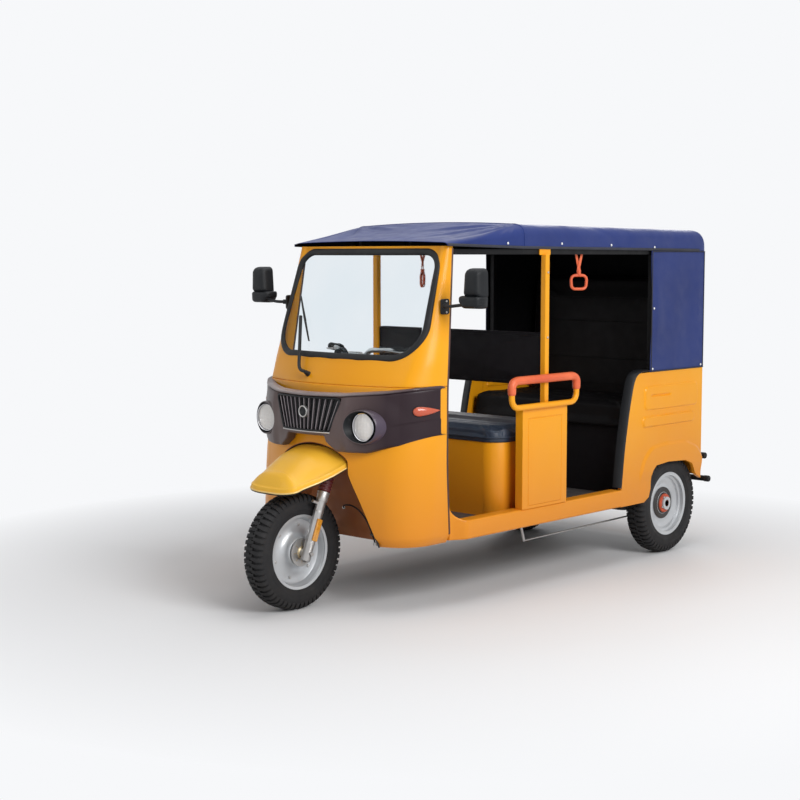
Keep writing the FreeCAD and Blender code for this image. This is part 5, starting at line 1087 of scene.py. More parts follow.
# %% Handlebar
keep_node("handlebar", STEEL, 0.001)
keep_node("steering_head", BLACK_PAINT, 0.001)
grip_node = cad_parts["hand_grips"]
corners_of = np.array([tuple(vertex.co) for vertex in grip_node.data.vertices])
levers = []
for side in (1, -1):
    half = corners_of[corners_of[:, 0] * side > 0]
    tip = half[half[:, 0] * side > (half[:, 0] * side).max() - 0.004].mean(0)
    root = half[half[:, 0] * side < (half[:, 0] * side).min() + 0.004].mean(0)
    line = unit(tip - root)
    length = np.linalg.norm(tip - root)
    s = np.linspace(0.004, length - 0.006, 61)
    ribs = 0.0162 + 0.0009 * np.sign(np.sin(s / length * 2 * np.pi * 14))
    profile = [(0.0, 0.014), (0.001, 0.0195), (0.003, 0.0195)] + np.stack([s, ribs], -1).tolist()
    profile += [(length - 0.003, 0.0175), (length, 0.014), (length, 0.0)]
    piece(f"ribbed_grip_{'left' if side > 0 else 'right'}", [turned(profile, root, line, 28)], RUBBER,
          "steering", ["hand_grips"], sharp=40)
    ahead = unit(np.cross(line, (0, 0, 1.0)))
    ahead = ahead * (-1 if ahead[1] > 0 else 1)
    perch = root - line * 0.020
    clamp = [(-0.010, 0), (-0.010, 0.017), (0.012, 0.017), (0.012, 0)]
    levers.append(turned(clamp, perch, line, 20, material=1))
    drop = np.array([0, 0, -0.009])
    blade = [perch + ahead * 0.012, perch + ahead * 0.023 + line * 0.020,
             root + line * 0.060 + ahead * 0.026 + drop,
             tip - line * 0.015 + ahead * 0.024 + drop]
    levers.append(tube(rounded_path(blade, 0.02), 0.0042, (0, 0, 1), 8))
piece("hand_levers", levers, [STEEL, PLASTIC], "steering", sharp=40)
print("fork and bar done")

# %% [markdown]
# ## The roof cloth
# The hood is one sewn sheet of coated cloth. Its cross-section is a hem, an upright side, a round
# shoulder and a gently crowned top. The front slopes down from the first bow to the windscreen, and
# there the cloth pulls into folds that fan out from the bow's corners. Between bows it hangs a little;
# at the tail it turns down over a round shoulder.

# %% Roof cloth as a function of length and girth
STATIONS = np.array([-0.690, -0.220, 1.325])
HOOD = np.array([  # half width, hem z, shoulder z, corner x, corner z, crown z
    (0.482, 1.601, 1.606, 0.430, 1.617, 1.624),
    (0.540, 1.590, 1.652, 0.462, 1.702, 1.714),
    (0.546, 1.582, 1.652, 0.468, 1.690, 1.702),
])
BOWS = np.array([-0.690, -0.220, 0.150, 0.520, 0.880, 1.285])
HOOD_FRONT, FIRST_BOW = BOWS[0], BOWS[1]
TAIL_START, TAIL_ROUND = 1.263, 0.062


def hood(y, u):
    """The cloth at length y and girth u from -1 to 1 (hem to hem). |u| over 0.85 is the upright side,
    down to 0.55 the shoulder's quadratic curve, and inside that the crown, a parabola."""
    half, hem, shoulder, corner_x, corner_z, crown = [np.interp(y, STATIONS, column) for column in HOOD.T]
    a = np.abs(u)
    up = np.clip((1 - a) / 0.15, 0, 1)
    x_side, z_side = half, hem + (shoulder - hem) * up
    s = np.clip((0.85 - a) / 0.30, 0, 1)
    bend_x = half - 0.1 * (half - corner_x)
    bend_z = corner_z + 0.06 * (corner_z - shoulder)
    x_turn = (1 - s) ** 2 * half + 2 * s * (1 - s) * bend_x + s ** 2 * corner_x
    z_turn = (1 - s) ** 2 * shoulder + 2 * s * (1 - s) * bend_z + s ** 2 * corner_z
    across_top = np.clip(a / 0.55, 0, 1)
    x_top = corner_x * across_top
    z_top = crown - (crown - corner_z) * across_top ** 2
    x = np.where(a > 0.85, x_side, np.where(a > 0.55, x_turn, x_top))
    z = np.where(a > 0.85, z_side, np.where(a > 0.55, z_turn, z_top))
    return np.sign(u) * x, z, hem, a


# %% The cloth's points and folds
length = join([np.linspace(HOOD_FRONT, FIRST_BOW, 64)[:-1],
               np.linspace(FIRST_BOW, TAIL_START, 120)])
turn_down = np.linspace(0, 1, 20)[1:]
girth = join([np.linspace(0, 0.55, 24)[:-1], np.linspace(0.55, 0.85, 16)[:-1],
              np.linspace(0.85, 1, 9)])
girth = join([-girth[:0:-1], girth])
y_rows = join([length, TAIL_START + TAIL_ROUND * np.sin(turn_down * np.pi / 2)])[:, None]
x, z, hem, a = hood(y_rows, girth[None])
tail_share = np.clip((y_rows - TAIL_START) / TAIL_ROUND, 0, 1)
drop = (1 - tail_share ** 2.6) ** (1 / 2.6)
z = hem + (z - hem) * drop
x = x * (1 - 0.012 * tail_share ** 4)
between = np.interp(y_rows, BOWS, np.arange(6)) % 1
z = z - 0.0045 * np.sin(np.pi * between) ** 2 * np.clip(1.3 - a, 0, 1) * (y_rows < TAIL_START)
FOLD_X = 0.47  # the folds fan out from the first bow at this x
corner_far = np.hypot(y_rows - FIRST_BOW, np.abs(x) - FOLD_X)
heading = np.arctan2(y_rows - FIRST_BOW, FOLD_X - np.abs(x) + 0.02)
slope_zone = smooth_step(-y_rows, 0.225, 0.30) * (1 - smooth_step(-y_rows, 0.60, 0.69))
ripple = (np.sin(heading * 15 + 1.1) + 0.6 * np.sin(heading * 27 + np.sign(x) * 0.8)
          + 0.3 * np.sin(heading * 41))
fold_fade = np.exp(-((corner_far - 0.20) / 0.17) ** 2)
z = z + 0.0036 * ripple * slope_zone * fold_fade * np.clip((1.02 - a) / 0.2, 0, 1)
side_wave = np.sin(y_rows * 19 + 0.7) * np.sin(y_rows * 7.3)
side_wave = side_wave * smooth_step(a, 0.60, 0.8) * (1 - smooth_step(a, 0.93, 1.0))
pull = 0.5 + 0.5 * np.sin((y_rows - 0.30) * 9.0 + a * 7)
crease = np.exp(-((y_rows - 0.36 - (a - 0.7) * 0.55) / 0.045) ** 2) * smooth_step(a, 0.45, 0.7)
x = x - np.sign(x) * (0.0020 * side_wave + 0.0030 * crease + 0.0012 * pull * smooth_step(a, 0.6, 0.9))
cloth_points = xyz(x, y_rows, z)
cloth = piece("roof_sheet", [grid(cloth_points)], [CLOTH, ROOF_BLACK],
              replaces=["canopy_top"], away=(0, 0.3, 1.2), sharp=60)
thicken(cloth, 0.0015, inner=1)


def hem_band(rows, high, outward=0.0022):
    """A flat band along a side hem: the cloth's lowest rows pushed out by a hair."""
    line_x, line_z, _, _ = hood(rows, np.ones_like(rows))
    low = xyz(line_x + outward, rows, line_z - 0.001)
    top = xyz(line_x + outward, rows, line_z + high)
    middle = (low + top) / 2 + [0.0012, 0, 0]
    inside_low = low - [0.006, 0, 0.001]
    return grid(np.stack([top - [0.0025, 0, -0.001], top, middle, low, inside_low]))


band_rows = np.linspace(HOOD_FRONT, 1.262, 90)
piece("hem_binding", both(hem_band(band_rows, 0.010)), BINDING, away=(0, 0.3, 1.6), sharp=60)
seam_x, seam_z, _, _ = hood(np.full(181, FIRST_BOW), np.linspace(-0.99, 0.99, 181))
welt = xyz(seam_x, FIRST_BOW, seam_z + 0.0004)
piece("roof_seam", [tube(welt, 0.0018, (0, 1, 0), 8)], CLOTH)


def button(place, out, size=0.006):
    """A press stud: a low dome turned about the direction it faces."""
    return turned([(0.0, size), (0.0015, size), (0.003, size * 0.72), (0.0036, 0)], place, out, 16)


SIDE_SNAPS = [(-0.326, 1.613), (0.061, 1.613), (0.462, 1.608), (0.840, 1.600)]
CURTAIN_SNAPS = [(0.844, 1.290), (0.838, 0.982), (1.296, 0.982)]
snaps = []
for y_snap, z_snap in SIDE_SNAPS:
    snaps.append(button((float(np.interp(y_snap, STATIONS, HOOD[:, 0])) + 0.001, y_snap, z_snap), (1, 0, 0)))
for y_snap, z_snap in CURTAIN_SNAPS:
    snaps.append(button((0.5455, y_snap, z_snap), (1, 0, 0)))
piece("press_studs", both(*snaps), SNAP, sharp=50)

# %% [markdown]
# ### Curtains
# Two short side curtains and one across the tail hang from the hood to the body's waist. Each is a
# flat sheet that bellies a little, with shallow upright waves between its studs and a stitched edge.

# %% Side and rear curtains
CURTAIN_FRONT, CURTAIN_REAR = 0.826, 1.322
CURTAIN_FOOT, CURTAIN_TOP, CURTAIN_TALL = 0.966, 1.584, 0.618
curtain_y = np.linspace(CURTAIN_FRONT, CURTAIN_REAR, 60)
curtain_z = np.linspace(CURTAIN_FOOT, CURTAIN_TOP, 60)[:, None]
wave = np.sin(curtain_y * 31) * 0.5 + np.sin(curtain_y * 13 + curtain_z * 2.2) * 0.8
behind, before = curtain_y - CURTAIN_FRONT, CURTAIN_REAR - curtain_y
inside_edge = np.clip(behind / 0.05, 0, 1) * np.clip(before / 0.05, 0, 1)
tall = np.sin(np.pi * np.clip((curtain_z - CURTAIN_FOOT) / CURTAIN_TALL, 0, 1))
edge_waver = 0.005 * np.sin(curtain_z * 11) * (1 - np.clip(behind / 0.12, 0, 1))
side_x = 0.542 + 0.0026 * wave * inside_edge * tall + 0 * curtain_z
side_points = xyz(side_x, curtain_y + edge_waver, curtain_z)
for name, side in (("left", 1), ("right", -1)):
    patch = grid(side_points)
    patch = patch if side > 0 else mirrored(patch)
    hanging = piece(f"side_curtain_{name}", [patch], [CLOTH, ROOF_BLACK],
                    replaces=["canopy_sides"], away=(0, 1.07, 1.2), sharp=60)
    thicken(hanging, 0.0015, inner=1)
rear_x = np.linspace(-0.540, 0.540, 90)
rear_wave = np.sin(rear_x * 17) * 0.6 + np.sin(rear_x * 29 + curtain_z * 3) * 0.4
rear_edge = np.clip((0.540 - np.abs(rear_x)) / 0.06, 0, 1)
rear_y = 1.3245 + 0.003 * rear_wave * rear_edge * tall
rear_points = xyz(rear_x, rear_y, curtain_z)
rear = piece("rear_curtain", [grid(rear_points)], [CLOTH, ROOF_BLACK],
             replaces=["canopy_rear"], away=(0, 1.0, 1.2), sharp=60)
thicken(rear, 0.0015, inner=1)
edge_lines = []
for y_edge, x_edge in ((0.8285, 0.5435), (1.3215, 0.5425)):
    line = xyz(x_edge, y_edge, np.linspace(0.968, 1.580, 40))
    edge_lines.append(tube(line, 0.0028, (0, 1, 0), 8))
foot_line = xyz(0.5435, np.linspace(0.828, 1.322, 40), 0.969)
head_line = xyz(0.5442, np.linspace(0.828, 1.322, 40), 1.578)
edge_lines += [tube(foot_line, 0.0034, (0, 0, 1), 8), tube(head_line, 0.0024, (0, 0, 1), 8)]
piece("curtain_bindings", both(*edge_lines), BINDING, sharp=60)

# %% [markdown]
# ## The rear side panels
# Each rear quarter is one sheet with three pressed forms: a rounded field near the top, a long bead
# under it, and a flare that follows the wheel arch. The sheet is a grid whose front column follows the
# door opening and whose foot follows the arch. The pressed forms only push x out.

# %% Quarter panels
FRONT_EDGE = np.array([(0.300, 0.578), (0.387, 0.578), (0.588, 0.600), (0.786, 0.639), (0.928, 0.682),
                       (0.955, 0.700), (0.965, 0.735)])
ARCH_FRONT = np.array([(0.300, 0.784), (0.322, 0.826), (0.362, 0.842), (0.432, 0.845)])
ARCH_TOP = np.array([(0.845, 0.432), (0.858, 0.462), (0.884, 0.482), (0.996, 0.491), (1.160, 0.483),
                     (1.222, 0.462), (1.252, 0.428), (1.276, 0.396), (1.323, 0.371)])


def box_distance(y, z, low, high, corner):
    """How far a point lies outside a rounded rectangle; negative inside."""
    middle, size = (np.array(low) + high) / 2, (np.array(high) - low) / 2 - corner
    over_y, over_z = np.abs(y - middle[0]) - size[0], np.abs(z - middle[1]) - size[1]
    outside = np.hypot(np.maximum(over_y, 0), np.maximum(over_z, 0))
    return outside + np.minimum(np.maximum(over_y, over_z), 0) - corner


def arch_distance(y, z):
    """Distance from the wheel arch's edge, by its nearest point on a fine copy of the edge."""
    edge = join([ARCH_FRONT[:, ::-1], ARCH_TOP[1:]])
    run = join([[0], np.cumsum(np.hypot(*np.diff(edge, axis=0).T))])
    s = np.linspace(0, run[-1], 160)
    fine = at_lengths(edge, run, s)
    return np.sqrt(((y[..., None] - fine[:, 0]) ** 2 + (z[..., None] - fine[:, 1]) ** 2).min(-1))


def panel_x(y, z):
    """The sheet's x: flat at 0.5415, raised by the field, the bead, the slot in the field and the flare."""
    field = 1 - smooth_step(box_distance(y, z, (0.772, 0.770), (1.272, 0.896), 0.030), -0.007, 0.0)
    bead = 1 - smooth_step(box_distance(y, z, (0.756, 0.684), (1.245, 0.742), 0.026), -0.007, 0.0)
    slot = 1 - smooth_step(box_distance(y, z, (0.826, 0.838), (1.010, 0.851), 0.006), -0.005, 0.001)
    flare = 1 - smooth_step(arch_distance(y, z), 0.088, 0.108)
    flare = flare * smooth_step(z, 0.40, 0.47)
    return 0.5415 + 0.0075 * field + 0.0090 * bead - 0.0070 * slot + 0.0085 * flare


def quarter():
    low_rows = np.linspace(0.300, 0.432, 18)[:-1]
    share = np.linspace(0, 1, 150)
    z_front = join([low_rows, 0.432 + (0.965 - 0.432) * share])[:, None]
    y_start = np.interp(z_front, FRONT_EDGE[:, 0], FRONT_EDGE[:, 1])
    y_end = np.interp(z_front, ARCH_FRONT[:, 0], ARCH_FRONT[:, 1])
    s = np.linspace(0, 1, 60)
    y_one = y_start + (y_end - y_start) * s
    z_one = z_front + 0 * s
    y_two = join([np.linspace(0.845, 0.884, 12)[:-1], np.linspace(0.884, 1.323, 110)])
    foot = np.interp(y_two, ARCH_TOP[:, 0], ARCH_TOP[:, 1])
    z_two = foot + (0.965 - foot) * share[:, None]
    y_two = y_two + 0 * z_two
    return [grid(xyz(panel_x(y, z), y, z)) for y, z in ((y_one, z_one), (y_two, z_two))]


# %% Both quarter panels and the opening's trim
for name, side in (("left", 1), ("right", -1)):
    patches = quarter()
    patches = patches if side > 0 else [mirrored(patch) for patch in patches]
    panel = piece(f"quarter_sheet_{name}", patches, YELLOW,
                  replaces=[f"quarter_panel_{name}"], away=(0, 1.0, 0.65), sharp=45)
    bevel(thicken(panel, 0.020), 0.003, 60)
trim_line = rounded_path([(0.533, 0.574, 0.392), (0.533, 0.598, 0.588), (0.533, 0.636, 0.786),
                          (0.533, 0.680, 0.945), (0.533, 0.735, 0.972), (0.533, 0.815, 0.972)], 0.060)
flat_trim = trim_line[None] + np.array([(0.014, 0.0, 0.0), (0.016, -0.004, 0.003), (0.006, -0.014, 0.008),
                                        (-0.030, -0.018, 0.008), (-0.034, -0.006, 0.003)])[:, None]
piece("opening_trims", both(grid(flat_trim)), PLASTIC, away=(0, 1.0, 0.5), sharp=50)
print("sides done")

# %% [markdown]
# ## Glass, seal and wiper
# The windscreen is one curved pane in a black rubber seal. The seal is a rounded band swept around the
# glass outline on the skin itself, so it follows the bow of the front.

# %% Windscreen and seal
def on_skin(outline, inset):
    """A front-view outline laid on the skin and moved in by the inset along the skin's own normal,
    which is the cross product of its slopes across and up."""
    t, z = across(outline[:, 0], outline[:, 1]), outline[:, 1]
    slope_across = cab(t + 0.002, z) - cab(t - 0.002, z)
    slope_up = cab(t, z + 0.002) - cab(t, z - 0.002)
    return cab(t, z) - inset * unit(np.cross(slope_across, slope_up))


seal_offsets = [(-0.004, 0.009), (-0.004, 0.001), (0.001, -0.0045), (0.009, -0.0065), (0.017, -0.0055),
                (0.0235, -0.001), (0.0245, 0.005)]
seal_rows = []
for grow, inset in seal_offsets:
    seal_rows.append(on_skin(denser(screen_outline(grow, 22)), inset))
piece("windscreen_rubber", [grid(np.stack(seal_rows), wrap_columns=True)], RUBBER,
      replaces=["windscreen_seal"], away=(0, -0.3, 1.3), sharp=60)
pane_u = np.linspace(-1, 1, 81)
pane_v = np.linspace(0, 1, 41)[:, None]
outline_half = screen_outline(0.0, 40)
outline_right = outline_half[outline_half[:, 0] > 0]
outline_right = outline_right[np.argsort(outline_right[:, 1], kind="stable")]
pane_z = GLASS_FOOT + (GLASS_TOP - GLASS_FOOT) * (0.5 - 0.5 * np.cos(np.pi * pane_v))
pane_half = np.interp(pane_z, outline_right[:, 1], outline_right[:, 0])
pane_x = pane_half * pane_u
pane_z = pane_z + 0 * pane_x
pane_y = cab(across(pane_x, pane_z), pane_z, 0.0045)[..., 1]
pane = piece("windscreen_pane", [grid(xyz(pane_x, pane_y, pane_z))], GLASS,
             replaces=["windscreen"], away=(0, -0.3, 1.3))
thicken(pane, 0.004)
out = np.array([0, -0.86, 0.51])
arm_places = np.array([(-0.112, 1.024), (-0.114, 1.025), (-0.158, 1.031), (-0.178, 1.048), (-0.296, 1.268)])
arm_route = on_skin(arm_places, 0.0) + np.array([0.0, 0.020, 0.021, 0.022, 0.018])[:, None] * out
pivot = arm_route[0]
boss_shape = turned([(-0.004, 0.0), (-0.004, 0.013), (0.004, 0.013), (0.006, 0.011), (0.020, 0.010),
                     (0.024, 0.007), (0.024, 0)], pivot, out, 20)
arm = tube(rounded_path(arm_route[1:], 0.018), 0.0078, out, 10)
blade_line = on_skin(np.linspace((-0.186, 1.166), (-0.352, 1.366), 12), -0.010)
carrier = tube(blade_line, np.interp(np.linspace(0, 1, 12), [0, 0.5, 1], [0.003, 0.0060, 0.003]), out, 8)
squeegee = tube(blade_line - out * 0.004, 0.0030, out, 6)
piece("wiper_arm", [boss_shape, arm, carrier, squeegee], RUBBER, replaces=["wiper"], sharp=40)
keep_node("dashboard", DASH, 0.003)
gauge_face = turned([(0.0, 0.0), (0.001, 0.021), (0.003, 0.0225), (0.003, 0.026), (-0.006, 0.0265)],
                    (0, -0.848, 1.121), (0, 0.94, 0.34), 36)
gauge_needle = turned([(0, 0), (0, 0.003), (0.003, 0.002), (0.003, 0)], (0, -0.847, 1.1215),
                      (0, 0.94, 0.34), 12)
piece("speed_gauge", [gauge_face], PLASTIC, sharp=40)
piece("gauge_hub", [gauge_needle], CHROME)

# %% [markdown]
# ## Sills, floor and post panels
# The sill is a folded channel whose outer face swings in to meet the cab. Post panels are flat boxes
# with a thin groove pressed round their border. They stay as the frame has them, with softened edges.

# %% Sills, floor, panels, posts
sill_y = join([np.linspace(-0.690, -0.600, 26), np.linspace(-0.595, 0.578, 60)])
swing = smooth_step(sill_y, -0.690, -0.612)
sill_x = 0.4985 + 0.0465 * swing
flat = rounded_outline([((0.065, 0.300), 0.012), ((0.065, 0.387), 0.009), ((0.0, 0.387), 0.003),
                        ((0.0, 0.300), 0.003)], 6)
rows_x = 0.480 + flat[None, :, 0] * ((sill_x[:, None] - 0.480) / 0.065)
sill_rows = xyz(rows_x, sill_y[:, None], flat[None, :, 1])
ends = [np.broadcast_to(sill_rows[k].mean(0), sill_rows[k].shape)[None] for k in (0, -1)]
sill_grid = grid(join([ends[0], sill_rows, ends[1]]), wrap_columns=True)
piece("door_sills", both(sill_grid), YELLOW, replaces=["side_sills"], sharp=45)
for name, material, edge in (("floor_pan", MAT, 0.001), ("post_panels", YELLOW, 0.003),
                             ("door_posts", YELLOW, 0.004), ("seat_box", YELLOW, 0.003),
                             ("tail_panel", YELLOW, 0.004), ("roof_frame", BLACK_PAINT, 0.002),
                             ("roof_bows", BLACK_PAINT, 0.001), ("chassis_frame", BLACK_PAINT, 0.002),
                             ("bench_base", BOARD, 0.002), ("engine_block", CAST, 0.006),
                             ("rear_axle", CAST, 0.002), ("leaf_springs", CAST, 0.001),
                             ("rear_bumper", BLACK_PAINT, 0.001), ("brake_linkage", STEEL, 0.0),
                             ("cable_clips", STEEL, 0.0)):
    keep_node(name, material, edge)
turn = np.linspace(0, np.pi / 2, 17)
curve_y, curve_z = -0.604 - 0.092 * np.cos(turn), 0.477 - 0.092 * np.sin(turn)
share = np.linspace(0, 1, 9)[:, None]
corner_y = curve_y + (-0.698 - curve_y) * share
corner_z = curve_z + (0.380 - curve_z) * share
corner_x = 0.4985 + 0.0465 * smooth_step(corner_y, -0.690,
                                         -0.612) * (1 - smooth_step(corner_z, 0.380, 0.470))
fillets = piece("sill_corner_fillets", both(grid(xyz(corner_x, corner_y, corner_z))), YELLOW,
                away=(0, -0.62, 0.42), sharp=60)
thicken(fillets, 0.010)
flanges = slab(rounded_outline([((-0.020, 1.562), 0.003), ((-0.020, 1.592), 0.004), ((-0.100, 1.592), 0.004),
                                ((-0.100, 1.562), 0.003)][::-1], 4),
               [(0.0, 0.531), (0.0, 0.5345), (0.0012, 0.5357)],
               lambda a, b, depth: (depth, a, b))
piece("post_flanges", both(flanges), YELLOW, sharp=40)
bolts = []
for z in (1.178, 0.985, 1.480):
    bolts += bolt_set((0.553, -0.060, z), np.zeros((1, 3)), 1, 0.0055, 0.005)
piece("post_bolts", both(*bolts), STEEL, sharp=30)

# %% [markdown]
# ## Grab hoops
# A bent tube makes each hoop, and a padded sleeve in coral vinyl covers its top and corners. The
# sleeve's seam runs along its underside.

# %% Hoops and their pads
HOOP_X = 0.567
corners = [(HOOP_X, -0.340, 0.990), (HOOP_X, -0.340, 0.866), (HOOP_X, 0.153, 0.866), (HOOP_X, 0.153, 0.990)]
start = np.array([HOOP_X, -0.0935, 0.990])
loop = rounded_path([start, corners[0], corners[1], corners[2], corners[3], start], 0.052, 12)[:-1]
piece("grab_tubes", both(tube(denser(loop), 0.0138, (1, 0, 0), 20, closed=True)), YELLOW,
      replaces=["grab_hoops"])
sleeve_path = rounded_path([(HOOP_X, -0.340, 0.926), (HOOP_X, -0.340, 0.990), (HOOP_X, 0.153, 0.990),
                            (HOOP_X, 0.153, 0.926)], 0.052, 14)
run = run_along(sleeve_path)
s = np.linspace(0, run[-1], 150)
sleeve_line = at_lengths(sleeve_path, run, s)
near_end = np.minimum(s, run[-1] - s)
swell = 0.0195 - 0.004 * np.exp(-near_end / 0.004)
swell = swell + 0.0006 * np.sin(s * 130) * smooth_step(near_end, 0.02,
                                                       0.05) * np.exp(-((s - 0.05) / 0.05) ** 2)
sleeves = piece("hoop_sleeves", both(tube(sleeve_line, swell, (1, 0, 0), 24)), CORAL,
                replaces=["hoop_pads"])
seam_path = sleeve_line + [0.0192, 0, 0]
piece("sleeve_seams", both(tube(seam_path[8:-8], 0.0012, (0, 1, 0.3), 6)), CORAL)

# %% [markdown]
# ## Hand straps
# A strap hangs from each roof rail: two bands of coral webbing cross over, run into a bound neck and
# hold a rounded square ring.

# %% Straps
def band(path, width, thick, flat):
    """A flat band: each ring is the path plus width along the flat direction and a thin edge."""
    path = np.array(path, float)
    ahead = unit(np.gradient(path, axis=0))
    flat = np.broadcast_to(np.array(flat, float), path.shape)
    wide = unit(flat - (flat * ahead).sum(-1, keepdims=True) * ahead)
    thin = np.cross(ahead, wide)
    angle = np.linspace(0, 2 * np.pi, 12, endpoint=False)
    a = np.sign(np.cos(angle)) * np.abs(np.cos(angle)) ** 0.5 * width / 2
    b = np.sign(np.sin(angle)) * np.abs(np.sin(angle)) ** 0.7 * thick / 2
    rings = path[:, None] + a[None, :, None] * wide[:, None] + b[None, :, None] * thin[:, None]
    rings = join([np.repeat(path[None, :1], 12, 1), rings, np.repeat(path[None, -1:], 12, 1)])
    return grid(rings, wrap_columns=True)


STRAP_X, STRAP_Y = 0.503, 0.251
straps = []
for lean, shift in ((1, 0.0035), (-1, -0.0035)):
    path = rounded_path([(STRAP_X + shift, STRAP_Y + lean * 0.021, 1.574),
                         (STRAP_X + shift, STRAP_Y + lean * 0.004, 1.522),
                         (STRAP_X + shift * 0.6, STRAP_Y - lean * 0.006, 1.498),
                         (STRAP_X + shift * 0.3, STRAP_Y, 1.462)], 0.02)
    s = np.linspace(0, 1, len(path))[:, None]
    straps.append(band(path, 0.017, 0.0028, join([0.5 * s, 1 - 0.4 * s, 0 * s], 1)))
neck = turned([(-0.012, 0.0), (-0.012, 0.010), (-0.004, 0.0115), (0.004, 0.0095), (0.010, 0.011),
               (0.014, 0.009), (0.014, 0.0)], (STRAP_X, STRAP_Y, 1.474), (0, 0, 1), 20)
ring_line = by_length(four_corners((0.037, 1.398), (0.042, 1.463), 0.020, 0.022, 10), 96)
ring_points = xyz(STRAP_X + 0.5 * ring_line[:, 0], STRAP_Y + 0.866 * ring_line[:, 0], ring_line[:, 1])
straps += [neck, tube(ring_points, 0.0072, (1, 0, 0), 14, closed=True)]
piece("hanging_straps", both(*straps), CORAL, replaces=["hand_straps"], sharp=50)

# %% [markdown]
# ## Mirrors
# Each mirror is two moulded shells on a bent arm: a tall rounded one over a ribbed foot. A plate on the
# door pillar carries the arm.

# %% Mirrors
def shell_of(corners, rows):
    """A moulded shell: an outline seen from behind, drawn towards its middle by a share at each depth y.
    Both ends close on the middle."""
    outline = by_length(rounded_outline(corners, 9), 88)
    middle = (outline.max(0) + outline.min(0)) / 2
    rows = np.array([(0.0, rows[0][1]), *rows, (0.0, rows[-1][1])])
    ring = middle + (outline - middle) * rows[:, :1, None]
    depth = np.broadcast_to(rows[:, 1:], ring.shape[:2])
    return grid(xyz(ring[..., 0], depth, ring[..., 1]), wrap_columns=True)


upper = shell_of([((0.7190, 1.378), 0.012), ((0.7155, 1.504), 0.024), ((0.632, 1.504), 0.024),
                  ((0.6235, 1.378), 0.012)],
                 [(0.88, -0.6975), (0.94, -0.6945), (1.0, -0.697), (1.0, -0.722), (0.975, -0.738),
                  (0.91, -0.750), (0.80, -0.759), (0.62, -0.7645), (0.34, -0.7665)])
lower = shell_of([((0.7170, 1.331), 0.018), ((0.7195, 1.386), 0.012), ((0.599, 1.386), 0.010),
                  ((0.600, 1.362), 0.010),
                  ((0.622, 1.331), 0.020)],
                 [(0.90, -0.6995), (0.95, -0.6965), (1.0, -0.700), (1.0, -0.724), (0.98, -0.742),
                  (0.93, -0.755), (0.84, -0.763), (0.66, -0.7685), (0.36, -0.770)])
ribs = []
for z in (1.350, 1.362, 1.374):
    line = rounded_path([(0.7185, -0.716, z), (0.7175, -0.748, z), (0.702, -0.7645, z), (0.645, -0.7690, z),
                         (0.614, -0.7610, z), (0.6005, -0.742, z)], 0.014)
    ribs.append(tube(line, 0.0022, (0, 0, 1), 6))
pillar = np.array([0.4845, -0.716, 1.336])
plate_shape = slab(four_corners((0.024, -0.034), (0.024, 0.034), 0.010, 0.010),
                   [(0.0, 0.000), (0.0, 0.010), (0.002, 0.013), (0.006, 0.014)],
                   lambda a, b, depth: (pillar[0] + depth, pillar[1] + a, pillar[2] + b))
arm_path = rounded_path([(0.490, -0.728, 1.338), (0.542, -0.752, 1.338), (0.618, -0.742, 1.347)], 0.02)
mirror_arm = tube(arm_path, 0.0072, (0, 0, 1), 12)
collar = turned([(-0.006, 0), (-0.006, 0.011), (0.010, 0.011), (0.012, 0.009), (0.012, 0)],
                (0.503, -0.734, 1.338), (0.91, -0.42, 0), 20)
nuts = bolt_set((0.4985, -0.716, 1.336), np.array([(0, 0.0, 0.024), (0, 0.0, -0.024)]), 1, 0.005, 0.004)
piece("mirror_shells", both(upper, lower, *ribs), PLASTIC, replaces=["mirrors"],
      sharp=42)
piece("mirror_arms", both(plate_shape, mirror_arm, collar), RUBBER, sharp=42)
piece("mirror_nuts", both(*nuts), STEEL, sharp=30)
glass_outline = by_length(rounded_outline([((0.7115, 1.392), 0.008), ((0.709, 1.497), 0.020),
                                           ((0.638, 1.497), 0.020),
                                           ((0.631, 1.392), 0.008)], 9), 88)
piece("mirror_faces", both(slab(glass_outline, [(0.0, -0.6955), (0.0, -0.6935), (0.001, -0.6930)],
                                lambda a, b, depth: (a, depth, b))), MIRROR, sharp=42)
print("cab fittings done")

# %% [markdown]
# ## Cushions
# The seats are foam under stretched vinyl. The shape comes from a short cloth run: a blank the size of
# the foam is remeshed to small squares and blown up a little, held at its foot, so its top swells and
# its edges pull round the way a cover does. The seams are laid on afterwards.

# %% Blown cushions
def blank(half, y, z, corner, rear_corner):
    """A rounded block to start from: its half width, its range in y and in z, and its corners' radii."""
    outline = four_corners((half, y[0]), (half, y[1]), corner, rear_corner, 8)
    return slab(outline, [(0.004, z[0]), (0.0, z[0] + 0.004), (0.0, z[1] - 0.010), (0.003, z[1] - 0.003),
                          (0.010, z[1])], lambda a, b, depth: (a, b, depth))


